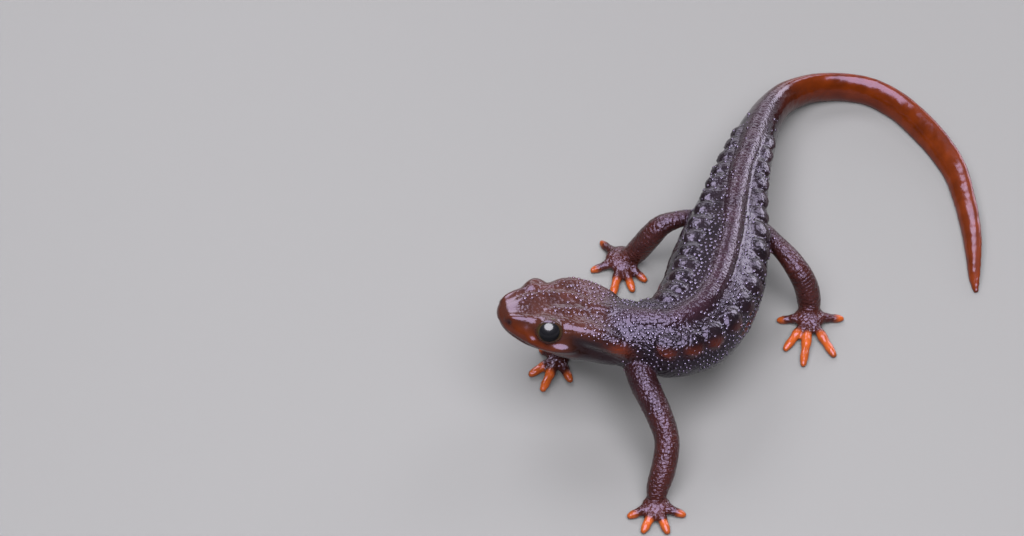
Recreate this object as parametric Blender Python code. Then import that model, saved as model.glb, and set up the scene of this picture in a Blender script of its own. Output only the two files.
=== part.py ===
"""A crocodile newt standing at rest, life size, as one closed solid per length of the body.

Everything is built in millimetres and scaled to metres at the end. The newt
looks along -X with its left side towards -Y, and its feet stand on z = 0. The
body is one loft through hand-set stations, cut across into the named lengths.
"""

import math

import bmesh
import bpy
import numpy as np
from mathutils import Matrix, Vector

MM = 0.001
GAP = 0.3  # clearance between neighbouring solids
WELD = 0.0001  # points closer than this are one
END_STEP = 0.25  # a tube's last short step, which sets the way its end faces
ROUND_TURNS = (30.0, 58.0, 80.0)  # degrees round the end of a tube at which it narrows
FLOOR_REACH = 240.0  # block below the floor that trims the soles
FLOOR_DEPTH = 30.0
CENTRE_X = 41.47  # middle of the whole outline, which moves to the origin
CENTRE_Y = -7.3
RING_STEP = 1.9  # spacing of the rings along the body

# Head, measured from the snout tip: back along its own axis, left, and up.
SNOUT_TIP = (-2.45, -27.2, 20.4)
HEAD_YAW = 9.0  # degrees that the snout turns towards the camera side
HEAD_PITCH = 18.0  # degrees that the snout is raised
HEAD_ROLL = 5.0  # degrees that the left side is raised
HEAD_BEND = 0.019  # how fast the back of the head curves towards the neck
BEND_START = 9.0
EYE_SPOT = (7.85, 4.3, 1.85)
EYE_BULGE = 0.8  # how far the eyeball stands out of the brow
EYE_RADIUS = 2.1
BROW_RADII = (2.6, 2.05, 2.35)
NOSTRIL_SPOT = (1.6, 2.4, 0.6)
NOSTRIL_RADIUS = 0.35
MOUTH_LINE = ((-2.0, -0.9), (3.0, -1.3), (8.0, -2.0), (12.6, -2.3))  # back, up
MOUTH_CORNER = 12.6
LIP_RISE = 0.55  # how far the lip's middle lies above the mouth line
LIP_SPOTS = (12.4, 10.4, 8.2, 6.0, 4.0, 2.6, 1.5)  # back from the snout tip
LIP_RADIUS = 0.62
LIP_SUNK = 0.78  # share of its radius that lies inside the head
LID_RADIUS = 2.35  # ring of skin round each eye
LID_THICK = 0.36
LID_OUT = 0.3  # how far the ring lies outside the eye's middle
THROAT_FOLD = 20.2  # place of the fold across the throat, along the body
THROAT_FOLD_RADIUS = 0.55
# back, lift of the middle, half width, half height, squareness
HEAD_STATIONS = (
    (0.0, 0.0, 0.7, 0.5, 2.0),
    (0.4, 0.0, 1.9, 1.2, 2.0),
    (1.3, 0.0, 3.3, 2.0, 2.1),
    (2.8, 0.0, 4.65, 2.65, 2.2),
    (5.2, 0.0, 6.1, 3.3, 2.3),
    (8.3, 0.0, 7.0, 3.8, 2.3),
    (11.5, 0.0, 7.6, 4.2, 2.3),
    (14.5, 0.0, 7.4, 4.5, 2.2),
    (18.0, 0.0, 6.5, 4.9, 2.1),
)
PAROTOID = ((10.6, 5.3, 2.9, 1.1), (14.5, 5.6, 2.8, 1.6), (18.5, 5.3, 2.5, 1.9), (20.9, 4.9, 2.3, 1.7))
CANTHUS = ((1.9, 2.6, 1.3, 0.4), (4.0, 3.9, 2.1, 0.7), (6.6, 4.7, 2.9, 0.8))
TEMPLE_RIDGE = ((8.5, 4.4, 3.6, 0.8), (12.5, 4.9, 3.7, 0.9), (17.0, 5.0, 3.7, 0.7))
CROWN_RIDGE = ((13.5, 0.0, 4.1, 0.5), (17.0, 0.0, 4.5, 0.8), (19.0, 0.0, 4.8, 0.7))

# Body: x, y, z, half width, half height, lean, ridge height, squareness
BODY_STATIONS = (
    (22.0, -27.4, 14.6, 5.9, 5.6, 0.0, 0.7, 2.0),
    (26.4, -27.4, 14.1, 7.3, 6.0, 4.0, 0.9, 2.1),
    (30.7, -24.2, 13.2, 8.3, 6.1, 9.0, 1.0, 2.2),
    (33.8, -18.4, 12.2, 8.7, 6.1, 12.0, 1.0, 2.2),
    (35.8, -11.8, 11.3, 8.8, 6.1, 13.0, 1.0, 2.2),
    (37.4, -4.9, 10.6, 8.2, 5.9, 12.0, 1.0, 2.2),
    (38.7, 1.4, 9.9, 7.0, 5.6, 9.0, 1.0, 2.2),
    (40.0, 6.8, 9.4, 6.1, 5.3, 5.0, 0.9, 2.2),
    (41.4, 12.0, 8.9, 5.3, 5.0, 0.0, 0.8, 2.2),
    (42.8, 17.2, 8.3, 4.6, 4.7, 0.0, 0.7, 2.1),
    (44.4, 22.6, 7.4, 4.1, 4.5, 0.0, 0.6, 2.1),
    (46.1, 28.3, 6.4, 3.6, 4.2, 0.0, 0.5, 2.0),
    (48.5, 33.8, 5.3, 3.0, 3.8, -2.0, 0.4, 1.9),
    (51.5, 38.2, 4.15, 2.5, 3.5, -5.0, 0.3, 1.9),
    (56.0, 41.3, 3.35, 2.1, 3.2, -8.0, 0.2, 1.8),
    (61.6, 42.5, 2.85, 1.7, 3.0, -14.0, 0.1, 1.8),
    (67.6, 41.7, 2.58, 1.5, 2.9, -22.0, 0.0, 1.8),
    (72.8, 38.2, 2.36, 1.4, 2.85, -31.0, 0.0, 1.8),
    (77.0, 32.9, 2.16, 1.3, 2.8, -38.0, 0.0, 1.8),
    (80.3, 27.3, 1.93, 1.2, 2.7, -44.0, 0.0, 1.8),
    (82.3, 22.3, 1.7, 1.15, 2.5, -48.0, 0.0, 1.8),
    (83.2, 17.3, 1.51, 1.1, 2.3, -50.0, 0.0, 1.8),
    (83.8, 11.7, 1.34, 1.0, 2.15, -52.0, 0.0, 1.8),
    (84.0, 6.3, 1.16, 0.95, 1.9, -54.0, 0.0, 1.8),
    (83.8, 1.3, 0.89, 0.8, 1.5, -56.0, 0.0, 1.8),
    (83.5, -3.4, 0.55, 0.55, 1.0, -58.0, 0.0, 1.9),
    (83.5, -5.9, 0.27, 0.35, 0.45, -58.0, 0.0, 2.0),
)
RIDGE_HALF = 1.25
RING_ANGLES = (0, 18, 36, 52, 66, 76, 84, 90, 96, 104, 114, 128, 144, 162, 180, 202, 224, 247, 270, 293, 316, 338)

# Rib nodules: one row down each flank, from behind the shoulder to the tail base.
NODULES = 15
NODULE_START = 28.4
NODULE_PITCH = 3.9
NODULE_SIDE = 0.7  # share of the half width
NODULE_SIZE = (1.6, 1.4, 1.15)  # along, across, proud
NODULE_SEED = 7

# Vent, on the underside behind the hind legs
VENT_PLACE = 77.0
VENT_RADII = (3.2, 1.9, 1.1)
VENT_SLIT = (1.9, 0.2, 0.7)

# Where the body is cut across, in millimetres along its middle line, always between two nodules.
LENGTHS = (
    ("head", 0.0, 21.5),
    ("neck", 21.5, NODULE_START - 0.5 * NODULE_PITCH),
    ("torso_front", NODULE_START - 0.5 * NODULE_PITCH, NODULE_START + 5.5 * NODULE_PITCH),
    ("torso_rear", NODULE_START + 5.5 * NODULE_PITCH, NODULE_START + 11.5 * NODULE_PITCH),
    ("tail_base", NODULE_START + 11.5 * NODULE_PITCH, 98.4),
    ("tail_middle", 98.4, 137.0),
    ("tail_tip", 137.0, 999.0),
)

# Legs: shoulder or hip, elbow or knee, wrist or ankle, palm, with the radius at each.
LEGS = {
    "foreleg_left": {
        "path": (
            (21.2, -30.6, 13.0, 2.6),
            (22.2, -35.0, 12.3, 2.5),
            (24.9, -41.0, 10.2, 2.3),
            (26.2, -44.5, 8.0, 2.15),
            (25.6, -48.6, 5.0, 2.15),
            (24.6, -51.1, 2.6, 1.9),
            (24.3, -52.6, 1.2, 1.4),
        ),
        "palm": (24.4, -53.2, 1.0, 2.5, 2.0, 1.1),
        "digits": ((19.6, -55.2), (22.0, -58.4), (26.2, -58.6), (29.2, -54.9)),
    },
    "foreleg_right": {
        "path": (
            (20.0, -22.6, 13.0, 2.2),
            (16.4, -18.6, 11.0, 2.1),
            (12.6, -16.4, 8.4, 2.1),
            (10.2, -17.6, 5.2, 2.1),
            (8.9, -19.6, 2.6, 1.8),
            (8.3, -21.0, 1.1, 1.4),
        ),
        "palm": (8.2, -21.4, 1.0, 2.0, 2.4, 1.1),
        "digits": ((5.0, -19.2), (3.0, -25.0), (5.2, -28.5), (10.3, -26.3)),
    },
    "hindleg_left": {
        "path": (
            (42.2, 3.4, 9.3, 1.5),
            (44.4, 1.4, 9.5, 1.5),
            (47.3, -2.9, 9.8, 1.7),
            (49.5, -6.0, 9.4, 1.95),
            (51.4, -8.3, 7.6, 2.15),
            (52.6, -9.4, 4.8, 2.2),
            (53.0, -10.3, 2.6, 2.1),
            (53.1, -11.7, 1.2, 1.7),
        ),
        "palm": (53.1, -12.4, 1.1, 2.9, 2.4, 1.2),
        "digits": ((47.4, -12.6), (48.1, -19.5), (51.2, -23.2), (57.1, -21.0), (59.1, -12.2)),
    },
    "hindleg_right": {
        "path": (
            (35.8, 4.4, 9.4, 1.4),
            (33.0, 4.0, 9.6, 1.4),
            (29.6, 3.1, 9.8, 1.6),
            (26.8, 2.2, 9.2, 1.95),
            (24.8, 1.6, 6.8, 2.15),
            (23.2, 1.5, 4.0, 2.15),
            (21.8, 1.3, 2.0, 2.0),
            (20.5, 0.8, 1.2, 1.7),
        ),
        "palm": (20.2, 0.4, 1.1, 2.6, 2.6, 1.2),
        "digits": ((24.2, -3.5), (21.8, -6.0), (18.0, -7.2), (14.3, -1.1), (16.2, 5.8)),
    },
}
ELBOW_SHARE = 0.46  # share of the leg's length where it is cut at the elbow or knee
WRIST_SHARE = 0.84
DIGIT_RADIUS = 0.82
DIGIT_KNUCKLE = 0.95
SOLE_TRIM = 0.25  # how far the toes pass below the floor before it trims them flat

COLOURS = {
    "head": (0.075, 0.024, 0.016),
    "lower_jaw": (0.11, 0.035, 0.018),
    "eye": (0.008, 0.007, 0.006),
    "body": (0.030, 0.014, 0.016),
    "tail": (0.16, 0.032, 0.012),
    "leg": (0.045, 0.015, 0.014),
    "foot": (0.30, 0.075, 0.020),
}


def head_axes():
    """Unit vectors of the head: back, left and up."""
    yaw, pitch, roll = (math.radians(turn) for turn in (HEAD_YAW, HEAD_PITCH, HEAD_ROLL))
    back = Vector((math.cos(yaw) * math.cos(pitch), math.sin(yaw) * math.cos(pitch), -math.sin(pitch)))
    left = back.cross(Vector((0.0, 0.0, 1.0))).normalized()
    up = left.cross(back)
    return back, left * math.cos(roll) + up * math.sin(roll), up * math.cos(roll) - left * math.sin(roll)


def head_point(back, left, up):
    """World point of a place measured on the head, which bends a little towards the neck."""
    along, across, above = head_axes()
    bend = HEAD_BEND * max(0.0, back - BEND_START) ** 2
    return Vector(SNOUT_TIP) + back * along + (left + bend) * across + up * above


def slopes_of(knots, values, monotone):
    """Slope at each knot; the monotone kind never overshoots between knots."""
    steps = np.diff(knots)[:, None]
    rises = np.diff(values, axis=0) / steps
    before, after = rises[:-1], rises[1:]
    if monotone:
        total = np.where(np.abs(before + after) > 1e-9, before + after, 1.0)
        middle = np.where(before * after > 0, 2 * before * after / total, 0.0)
    else:
        middle = (before * steps[1:] + after * steps[:-1]) / (steps[1:] + steps[:-1])
    return np.vstack([rises[:1], middle, rises[-1:]])


def smooth(knots, values, at, monotone=True):
    """Cubic curve through the values, read at the given places."""
    knots, values, at = np.asarray(knots), np.asarray(values), np.asarray(at)
    slopes = slopes_of(knots, values, monotone)
    left = np.clip(np.searchsorted(knots, at, side="right") - 1, 0, len(knots) - 2)
    span = (knots[left + 1] - knots[left])[:, None]
    share = ((at - knots[left])[:, None]) / span
    square, cube = share**2, share**3
    start = (2 * cube - 3 * square + 1) * values[left] + (cube - 2 * square + share) * span * slopes[left]
    end = (3 * square - 2 * cube) * values[left + 1] + (cube - square) * span * slopes[left + 1]
    return start + end


def body_table():
    """Distance from the snout, middle point and section sizes of every station."""
    middles, sizes = [], []
    for back, lift, width, height, square in HEAD_STATIONS:
        middles.append(head_point(back, 0.0, lift)[:])
        sizes.append((width, height, -HEAD_ROLL, 0.0, square))
    for x, y, z, width, height, lean, ridge, square in BODY_STATIONS:
        middles.append((x, y, z))
        sizes.append((width, height, lean, ridge, square))
    middles = np.array(middles)
    return lengths_to(middles), middles, np.array(sizes)


def frames_at(places):
    """Middle, tangent, left and up of the body, and its section sizes, at each place."""
    run, middles, sizes = body_table()
    places = np.clip(places, 0.0, run[-1])
    centre = smooth(run, middles, places, monotone=False)
    ahead = smooth(run, middles, np.clip(places + 0.4, 0, run[-1]), monotone=False)
    behind = smooth(run, middles, np.clip(places - 0.4, 0, run[-1]), monotone=False)
    along = ahead - behind
    along /= np.linalg.norm(along, axis=1)[:, None]
    left = np.cross(along, [0.0, 0.0, 1.0])
    left /= np.linalg.norm(left, axis=1)[:, None]
    up = np.cross(left, along)
    size = smooth(run, sizes, places)
    lean = np.radians(size[:, 2])[:, None]
    tilted_up = up * np.cos(lean) + left * np.sin(lean)
    tilted_left = left * np.cos(lean) - up * np.sin(lean)
    return centre, along, tilted_left, tilted_up, size


def body_rings(start, end, grow=0.0):
    """Rings of points round the body from one place to another."""
    end = min(end, body_table()[0][-1])
    count = max(3, int(round((end - start) / RING_STEP)) + 1)
    places = np.linspace(start, end, count)
    if start == 0.0:
        places = np.concatenate([[0.0, 0.35, 0.9], places[places > 1.4]])
    centre, _, left, up, size = frames_at(places)
    angles = np.radians(RING_ANGLES)
    cosine, sine = np.cos(angles), np.sin(angles)
    rings = []
    for index in range(len(places)):
        width, height, _, ridge, square = size[index]
        across = (width + grow) * np.sign(cosine) * np.abs(cosine) ** (2 / square)
        above = (height + grow) * np.sign(sine) * np.abs(sine) ** (2 / square)
        above = above + np.where(sine > 0, ridge * np.exp(-((across / RIDGE_HALF) ** 2)), 0.0)
        rings.append(centre[index] + across[:, None] * left[index] + above[:, None] * up[index])
    return rings


def object_from(name, shape):
    """Object holding a closed bmesh, with its faces pointing out."""
    bmesh.ops.recalc_face_normals(shape, faces=shape.faces)
    if shape.calc_volume(signed=True) < 0:
        bmesh.ops.reverse_faces(shape, faces=shape.faces)
    mesh = bpy.data.meshes.new(name)
    shape.to_mesh(mesh)
    shape.free()
    made = bpy.data.objects.new(name, mesh)
    bpy.context.scene.collection.objects.link(made)
    return made


def solid_from_rings(name, rings):
    """Closed loft through rings of equal length, capped flat at both ends."""
    shape = bmesh.new()
    rows = [[shape.verts.new(point) for point in ring] for ring in rings]
    for near, far in zip(rows, rows[1:]):
        for spot in range(len(near)):
            shape.faces.new((near[spot - 1], near[spot], far[spot], far[spot - 1]))
    shape.faces.new(rows[0])
    shape.faces.new(rows[-1])
    return object_from(name, shape)


def lengths_to(points):
    """Distance along a line of points to each of them."""
    steps = np.linalg.norm(np.diff(points, axis=0), axis=1)
    return np.concatenate([[0.0], np.cumsum(steps)])


def round_end(places, radii):
    """Adds shrinking points after the last one, so that the tube ends in a half ball."""
    way = places[-1] - places[-2]
    way = way / np.linalg.norm(way)
    turns = np.radians(ROUND_TURNS)
    added = places[-1] + radii[-1] * np.sin(turns)[:, None] * way
    return np.vstack([places, added]), np.concatenate([radii, radii[-1] * np.cos(turns)])


def tube(name, spots, around, step, start=0.0, end=1.0, round_start=False, round_finish=False):
    """Round tube along (x, y, z, radius) spots, between two shares of its length."""
    spots = np.array(spots, float)
    run = lengths_to(spots[:, :3])
    first, last = start * run[-1], end * run[-1]
    count = max(2, int(round((last - first) / step)))
    inner = np.linspace(first + END_STEP, last - END_STEP, count)
    at = np.concatenate([[first], inner, [last]])
    places = smooth(run, spots[:, :3], at, monotone=False)
    radii = smooth(run, spots[:, 3:], at)[:, 0]
    if round_finish:
        places, radii = round_end(places, radii)
    if round_start:
        places, radii = round_end(places[::-1], radii[::-1])
    line = bpy.data.curves.new(name, "CURVE")
    line.dimensions = "3D"
    line.bevel_depth = 1.0
    line.bevel_resolution = around // 2 - 2
    line.use_fill_caps = True
    route = line.splines.new("POLY")
    route.points.add(len(places) - 1)
    for point, place, radius in zip(route.points, places, radii):
        point.co = (*place, 1.0)
        point.radius = radius
    return mesh_of_curve(name, line)


def mesh_of_curve(name, line):
    """Closed mesh object from a bevelled curve, with its caps welded on."""
    carrier = bpy.data.objects.new(name, line)
    bpy.context.scene.collection.objects.link(carrier)
    graph = bpy.context.evaluated_depsgraph_get()
    loose = bpy.data.meshes.new_from_object(carrier.evaluated_get(graph))
    shape = bmesh.new()
    shape.from_mesh(loose)
    bmesh.ops.remove_doubles(shape, verts=shape.verts, dist=WELD)
    bpy.data.objects.remove(carrier)
    bpy.data.curves.remove(line)
    bpy.data.meshes.remove(loose)
    return object_from(name, shape)


def ball(name, middle, radii, axes, rows=8, around=14):
    """Ellipsoid whose radii lie along three unit vectors, with its poles on the third."""
    columns = [Vector(axis) * radius for axis, radius in zip(axes, radii)]
    turn = Matrix(columns).transposed().to_4x4()
    shape = bmesh.new()
    place = Matrix.Translation(Vector(middle)) @ turn
    bmesh.ops.create_uvsphere(shape, u_segments=around, v_segments=rows, radius=1.0, matrix=place)
    return object_from(name, shape)


def floor_block():
    """Everything below the floor, for trimming the soles flat."""
    shape = bmesh.new()
    place = Matrix.Translation((CENTRE_X, CENTRE_Y, -FLOOR_DEPTH / 2))
    bmesh.ops.create_cube(shape, size=1.0, matrix=place @ Matrix.Diagonal((FLOOR_REACH, FLOOR_REACH, FLOOR_DEPTH, 1.0)))
    return object_from("floor", shape)


def carve(target, others, operation, keep=False):
    """Applies one Boolean for each helper and, unless kept, removes the helpers."""
    for other in others:
        change = target.modifiers.new(operation.lower(), "BOOLEAN")
        change.operation = operation
        change.solver = "MANIFOLD"
        change.object = other
    graph = bpy.context.evaluated_depsgraph_get()
    result = bpy.data.meshes.new_from_object(target.evaluated_get(graph))
    target.modifiers.clear()
    target.data = result
    if not keep:
        for other in others:
            bpy.data.objects.remove(other)
    return target


def head_tube(name, spots, side, around=10, grow=0.0):
    """Rounded ridge along (back, left, up, radius) spots on one side of the head."""
    placed = [head_point(back, left * side, up)[:] + (radius + grow,) for back, left, up, radius in spots]
    return tube(name, placed, around, 1.6, round_start=True, round_finish=True)


def parotoids(grow=0.0):
    """The long glands behind the eyes, one on each side."""
    return [head_tube("parotoid", PAROTOID, side, 12, grow) for side in (1, -1)]


def mouth_cutter(shift, reach):
    """Block below the mouth line, moved up or down and reaching back to the jaw corner."""
    outline = [(back, up + shift) for back, up in MOUTH_LINE]
    outline[-1] = (reach, outline[-1][1])
    outline += [(reach, -16.0), (outline[0][0], -16.0)]
    rings = [[head_point(back, left, up)[:] for back, up in outline] for left in (-13.0, 13.0)]
    return solid_from_rings("mouth", rings)


def nostril_cutter(side):
    """Short hole that runs in from the side of the snout."""
    back, left, up = NOSTRIL_SPOT
    spots = []
    for share in (0.0, 0.5, 1.0):
        spot = head_point(back - 3.0 * share, (left + 2.6 * share) * side, up + 0.4 * share)
        spots.append(spot[:] + (NOSTRIL_RADIUS,))
    return tube("nostril", spots, 8, 2.0)


def eyeball(name, side, radius, rows=8, around=16):
    """Ball of one eye, standing a little out of the brow."""
    back, left, up = EYE_SPOT
    spot = head_point(back, (left + EYE_BULGE) * side, up + 0.1)
    return ball(name, spot, (radius,) * 3, head_axes(), rows, around)


def head_half_width(back, up):
    """Half width of the plain head, straight out from its middle plane, at one height."""
    table = np.array(HEAD_STATIONS)
    lift, width, height, square = smooth(table[:, 0], table[:, 1:], [back])[0]
    share = min(1.0, abs(up - lift) / height)
    return float(width * (1 - share**square) ** (1 / square))


def upper_lip():
    """Rounded rim above the mouth line, from one jaw corner round the snout to the other."""
    line = np.array(MOUTH_LINE)
    spots = []
    for back in LIP_SPOTS:
        up = float(np.interp(back, line[:, 0], line[:, 1])) + LIP_RISE
        spots.append((back, head_half_width(back, up) - LIP_SUNK * LIP_RADIUS, up))
    path = [(back, left, up) for back, left, up in spots]
    path += [(back, -left, up) for back, left, up in reversed(spots)]
    placed = [head_point(back, left, up)[:] + (LIP_RADIUS,) for back, left, up in path]
    return tube("lip", placed, 8, 1.5, round_start=True, round_finish=True)


def eye_lids(side):
    """Ring of skin round one eye, facing out and a little up, forwards and in line with the brow."""
    along, across, above = head_axes()
    back, left, up = EYE_SPOT
    facing = (across * side * 0.93 + above * 0.25 - along * 0.38).normalized()
    middle = head_point(back, (left + EYE_BULGE) * side, up + 0.1) + facing * LID_OUT
    bpy.ops.mesh.primitive_torus_add(
        major_radius=LID_RADIUS,
        minor_radius=LID_THICK,
        major_segments=20,
        minor_segments=6,
        location=middle,
        rotation=facing.to_track_quat("Z", "Y").to_euler(),
    )
    lids = bpy.context.object
    lids.name = "lids"
    return lids


def throat_fold():
    """Fold of skin that crosses the throat just behind the head."""
    centre, _, left, up, size = (value[0] for value in frames_at(np.array([THROAT_FOLD])))
    spots = []
    for turn in np.radians(np.linspace(200, 340, 9)):
        radius = THROAT_FOLD_RADIUS * (0.4 - 0.6 * math.sin(turn))
        across = (size[0] - radius) * math.cos(turn)
        above = (size[1] - 0.5 * radius) * math.sin(turn)
        spots.append((*(centre + across * left + above * up), radius))
    return tube("fold", spots, 8, 1.6, round_start=True, round_finish=True)


def make_head():
    """Head with its raised and sunken forms, its lower jaw and the eyes."""
    end = LENGTHS[0][2] - GAP / 2
    head = solid_from_rings("head", body_rings(0.0, end))
    jaw = solid_from_rings("lower_jaw", body_rings(0.0, end))
    carve(jaw, [mouth_cutter(-GAP / 2, MOUTH_CORNER)], "INTERSECT")
    back, left, up = EYE_SPOT
    added = parotoids() + [head_tube("crown", CROWN_RIDGE, 1), upper_lip(), throat_fold()]
    cut = [mouth_cutter(GAP / 2, MOUTH_CORNER + GAP)]
    for side in (1, -1):
        added.append(ball("brow", head_point(back, left * side, up), BROW_RADII, head_axes(), 8, 16))
        added.append(head_tube("canthus", CANTHUS, side))
        added.append(head_tube("temple", TEMPLE_RIDGE, side))
        added.append(eye_lids(side))
        cut.append(eyeball("socket", side, EYE_RADIUS + GAP))
        cut.append(nostril_cutter(side))
    carve(head, added, "UNION")
    carve(head, cut, "DIFFERENCE")
    eyes = [eyeball("eye_left", 1, EYE_RADIUS, 10, 18), eyeball("eye_right", -1, EYE_RADIUS, 10, 18)]
    return [head, jaw] + eyes


def nodule_places():
    """Distance along the body, side and size factor of every nodule in both rows."""
    chance = np.random.default_rng(NODULE_SEED)
    places = []
    for index in range(NODULES):
        for side in (1, -1):
            places.append((NODULE_START + NODULE_PITCH * index, side, 0.9 + 0.2 * chance.random()))
    return places


def nodule_spot(place, side):
    """Point on the skin for a nodule, with the way along the body and straight out of it."""
    centre, along, left, up, size = (value[0] for value in frames_at(np.array([place])))
    width, height, _, _, square = size
    above = height * (1 - NODULE_SIDE**square) ** (1 / square)
    outward = Vector(up * 0.86 + side * left * 0.5).normalized()
    return Vector(centre + side * NODULE_SIDE * width * left + above * up), Vector(along), outward, width


def nodules_between(start, end):
    """Ellipsoids for the nodules that stand on one length, closer together inside a bend."""
    made = []
    for place, side, factor in nodule_places():
        if not start < place < end:
            continue
        spot, along, outward, width = nodule_spot(place, side)
        stretch = (nodule_spot(place + 0.5, side)[0] - nodule_spot(place - 0.5, side)[0]).length
        shrink = factor * min(1.0, 0.45 + width / 14)
        long, wide, proud = NODULE_SIZE
        radii = (long * factor * min(stretch, 1.35), wide * shrink, proud * shrink)
        axes = (along, outward.cross(along).normalized(), outward)
        made.append(ball("nodule", spot - outward * 0.25, radii, axes, 6, 10))
    return made


def add_vent(piece):
    """Low swelling with a short slit under the tail base."""
    centre, along, left, up, size = (value[0] for value in frames_at(np.array([VENT_PLACE])))
    bottom = Vector(centre - up * size[1])
    axes = (along, left, up)
    carve(piece, [ball("swelling", bottom, VENT_RADII, axes, 6, 12)], "UNION")
    lowest = bottom - Vector(up) * VENT_RADII[2]
    carve(piece, [ball("slit", lowest, VENT_SLIT, axes, 6, 10)], "DIFFERENCE")


def make_lengths():
    """Neck, torso and tail lengths with their nodules."""
    made = []
    for name, start, end in LENGTHS[1:]:
        piece = solid_from_rings(name, body_rings(start + GAP / 2, end - GAP / 2))
        made.append(carve(piece, nodules_between(start, end), "UNION"))
        if start < VENT_PLACE < end:
            add_vent(piece)
    carve(made[0], parotoids(GAP), "DIFFERENCE")
    for piece in made[-3:]:
        carve(piece, [floor_block()], "DIFFERENCE")
    return made


def make_digit(palm, tip):
    """Tapered toe from inside the palm to its rounded tip on the floor."""
    x, y, z = palm[:3]
    level = DIGIT_RADIUS - SOLE_TRIM
    across, along = tip[0] - x, tip[1] - y
    plan = (
        (0.15, z, DIGIT_RADIUS),
        (0.5, level + 0.25, DIGIT_KNUCKLE),
        (0.78, level, DIGIT_RADIUS),
        (0.93, level - 0.1, DIGIT_RADIUS * 0.8),
    )
    spots = [(x + across * share, y + along * share, height, radius) for share, height, radius in plan]
    return tube("digit", spots, 10, 1.3, round_start=True, round_finish=True)


def make_leg(name, plan, body):
    """Upper length, lower length and foot of one leg."""
    spots = plan["path"]
    run = sum(math.dist(a[:3], b[:3]) for a, b in zip(spots, spots[1:]))
    half = GAP / 2 / run
    upper = tube(name + "_upper", spots, 14, 1.5, 0.0, ELBOW_SHARE - half, round_start=True)
    lower = tube(name + "_lower", spots, 14, 1.5, ELBOW_SHARE + half, WRIST_SHARE - half)
    foot = tube(name + "_foot", spots, 14, 1.2, WRIST_SHARE + half, 1.0, round_finish=True)
    x, y, z, long, wide, thick = plan["palm"]
    added = [ball("palm", (x, y, z), (long, wide, thick), ((1, 0, 0), (0, 1, 0), (0, 0, 1)))]
    added += [make_digit(plan["palm"], tip) for tip in plan["digits"]]
    carve(foot, added, "UNION")
    carve(foot, [floor_block()], "DIFFERENCE")
    carve(upper, [body], "DIFFERENCE", keep=True)
    return [upper, lower, foot]


def colour_of(name):
    """Base colour and roughness of one node."""
    if name.startswith("eye"):
        return COLOURS["eye"], 0.08
    if name.endswith("_foot"):
        return COLOURS["foot"], 0.35
    if "leg" in name:
        return COLOURS["leg"], 0.35
    if name in ("tail_middle", "tail_tip"):
        return COLOURS["tail"], 0.35
    return COLOURS.get(name, COLOURS["body"]), 0.32


def finish_node(made, home):
    """Scales a node to metres round the origin and gives it its collection, material and shading."""
    made.data.transform(Matrix.Scale(MM, 4) @ Matrix.Translation((-CENTRE_X, -CENTRE_Y, 0.0)))
    for holder in list(made.users_collection):
        holder.objects.unlink(made)
    home.objects.link(made)
    colour, rough = colour_of(made.name)
    paint = bpy.data.materials.new(made.name)
    paint.use_nodes = True
    shader = paint.node_tree.nodes["Principled BSDF"]
    shader.inputs["Base Color"].default_value = (*colour, 1.0)
    shader.inputs["Roughness"].default_value = rough
    shader.inputs["Metallic"].default_value = 0.0
    made.data.materials.clear()
    made.data.materials.append(paint)
    made.data.shade_smooth()
    made.data.set_sharp_from_angle(angle=math.radians(45))


def main():
    """Clears the scene and makes every node."""
    for old in list(bpy.data.objects):
        bpy.data.objects.remove(old)
    home = bpy.data.collections.new("crocodile_newt")
    bpy.context.scene.collection.children.link(home)
    nodes = make_head() + make_lengths()
    body = solid_from_rings("body", body_rings(12.0, 100.0, GAP))
    for name, plan in LEGS.items():
        nodes += make_leg(name, plan, body)
    bpy.data.objects.remove(body)
    for made in nodes:
        finish_node(made, home)


if __name__ == "__main__":
    main()
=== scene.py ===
"""Looks of a life-size crocodile newt model: one wet skin, its granules and two eyes.

Shapes are worked out in millimetres on the newt's own plan and placed in the
frame's metres at the end. The newt looks along -X, with its left side towards -Y.
"""

import logging
import math
from dataclasses import dataclass, field
from enum import Enum
from typing import Sequence

import bmesh
import bpy
import numpy as np
from mathutils import Matrix, Vector, noise
from mathutils.kdtree import KDTree

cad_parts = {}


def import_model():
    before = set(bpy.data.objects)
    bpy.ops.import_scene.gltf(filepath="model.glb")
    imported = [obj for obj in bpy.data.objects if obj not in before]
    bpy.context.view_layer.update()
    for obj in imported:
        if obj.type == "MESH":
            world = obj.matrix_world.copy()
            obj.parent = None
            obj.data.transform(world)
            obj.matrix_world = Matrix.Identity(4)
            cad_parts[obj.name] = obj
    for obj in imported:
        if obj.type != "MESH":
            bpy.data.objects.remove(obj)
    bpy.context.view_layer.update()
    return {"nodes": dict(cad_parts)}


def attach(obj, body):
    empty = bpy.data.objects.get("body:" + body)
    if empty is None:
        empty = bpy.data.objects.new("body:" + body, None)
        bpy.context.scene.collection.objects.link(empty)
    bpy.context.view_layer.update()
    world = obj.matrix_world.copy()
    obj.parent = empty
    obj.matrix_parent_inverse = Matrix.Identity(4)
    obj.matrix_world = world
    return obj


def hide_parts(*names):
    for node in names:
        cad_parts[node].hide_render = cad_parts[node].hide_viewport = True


log = logging.getLogger("newt")

MM = 0.001
PLAN_MIDDLE = Vector((41.47, -7.3, 0.0))  # place on the plan, in mm, of the frame's origin
SKIN_VOXEL = 0.305  # mm
FAR = 9.0  # ratio of distance to radius that stands for out of reach
Array = np.ndarray
Colour = tuple[float, float, float]
Shape = bmesh.types.BMesh
Mesh = bpy.types.Mesh
Material = bpy.types.Material
Object = bpy.types.Object
Node = bpy.types.Node
Socket = bpy.types.NodeSocket
Tree = bpy.types.NodeTree


class Slot(Enum):
    """Names of the material slots for the skin and the eyes."""

    SKIN = "body_skin"
    EYE = "eye"


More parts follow.
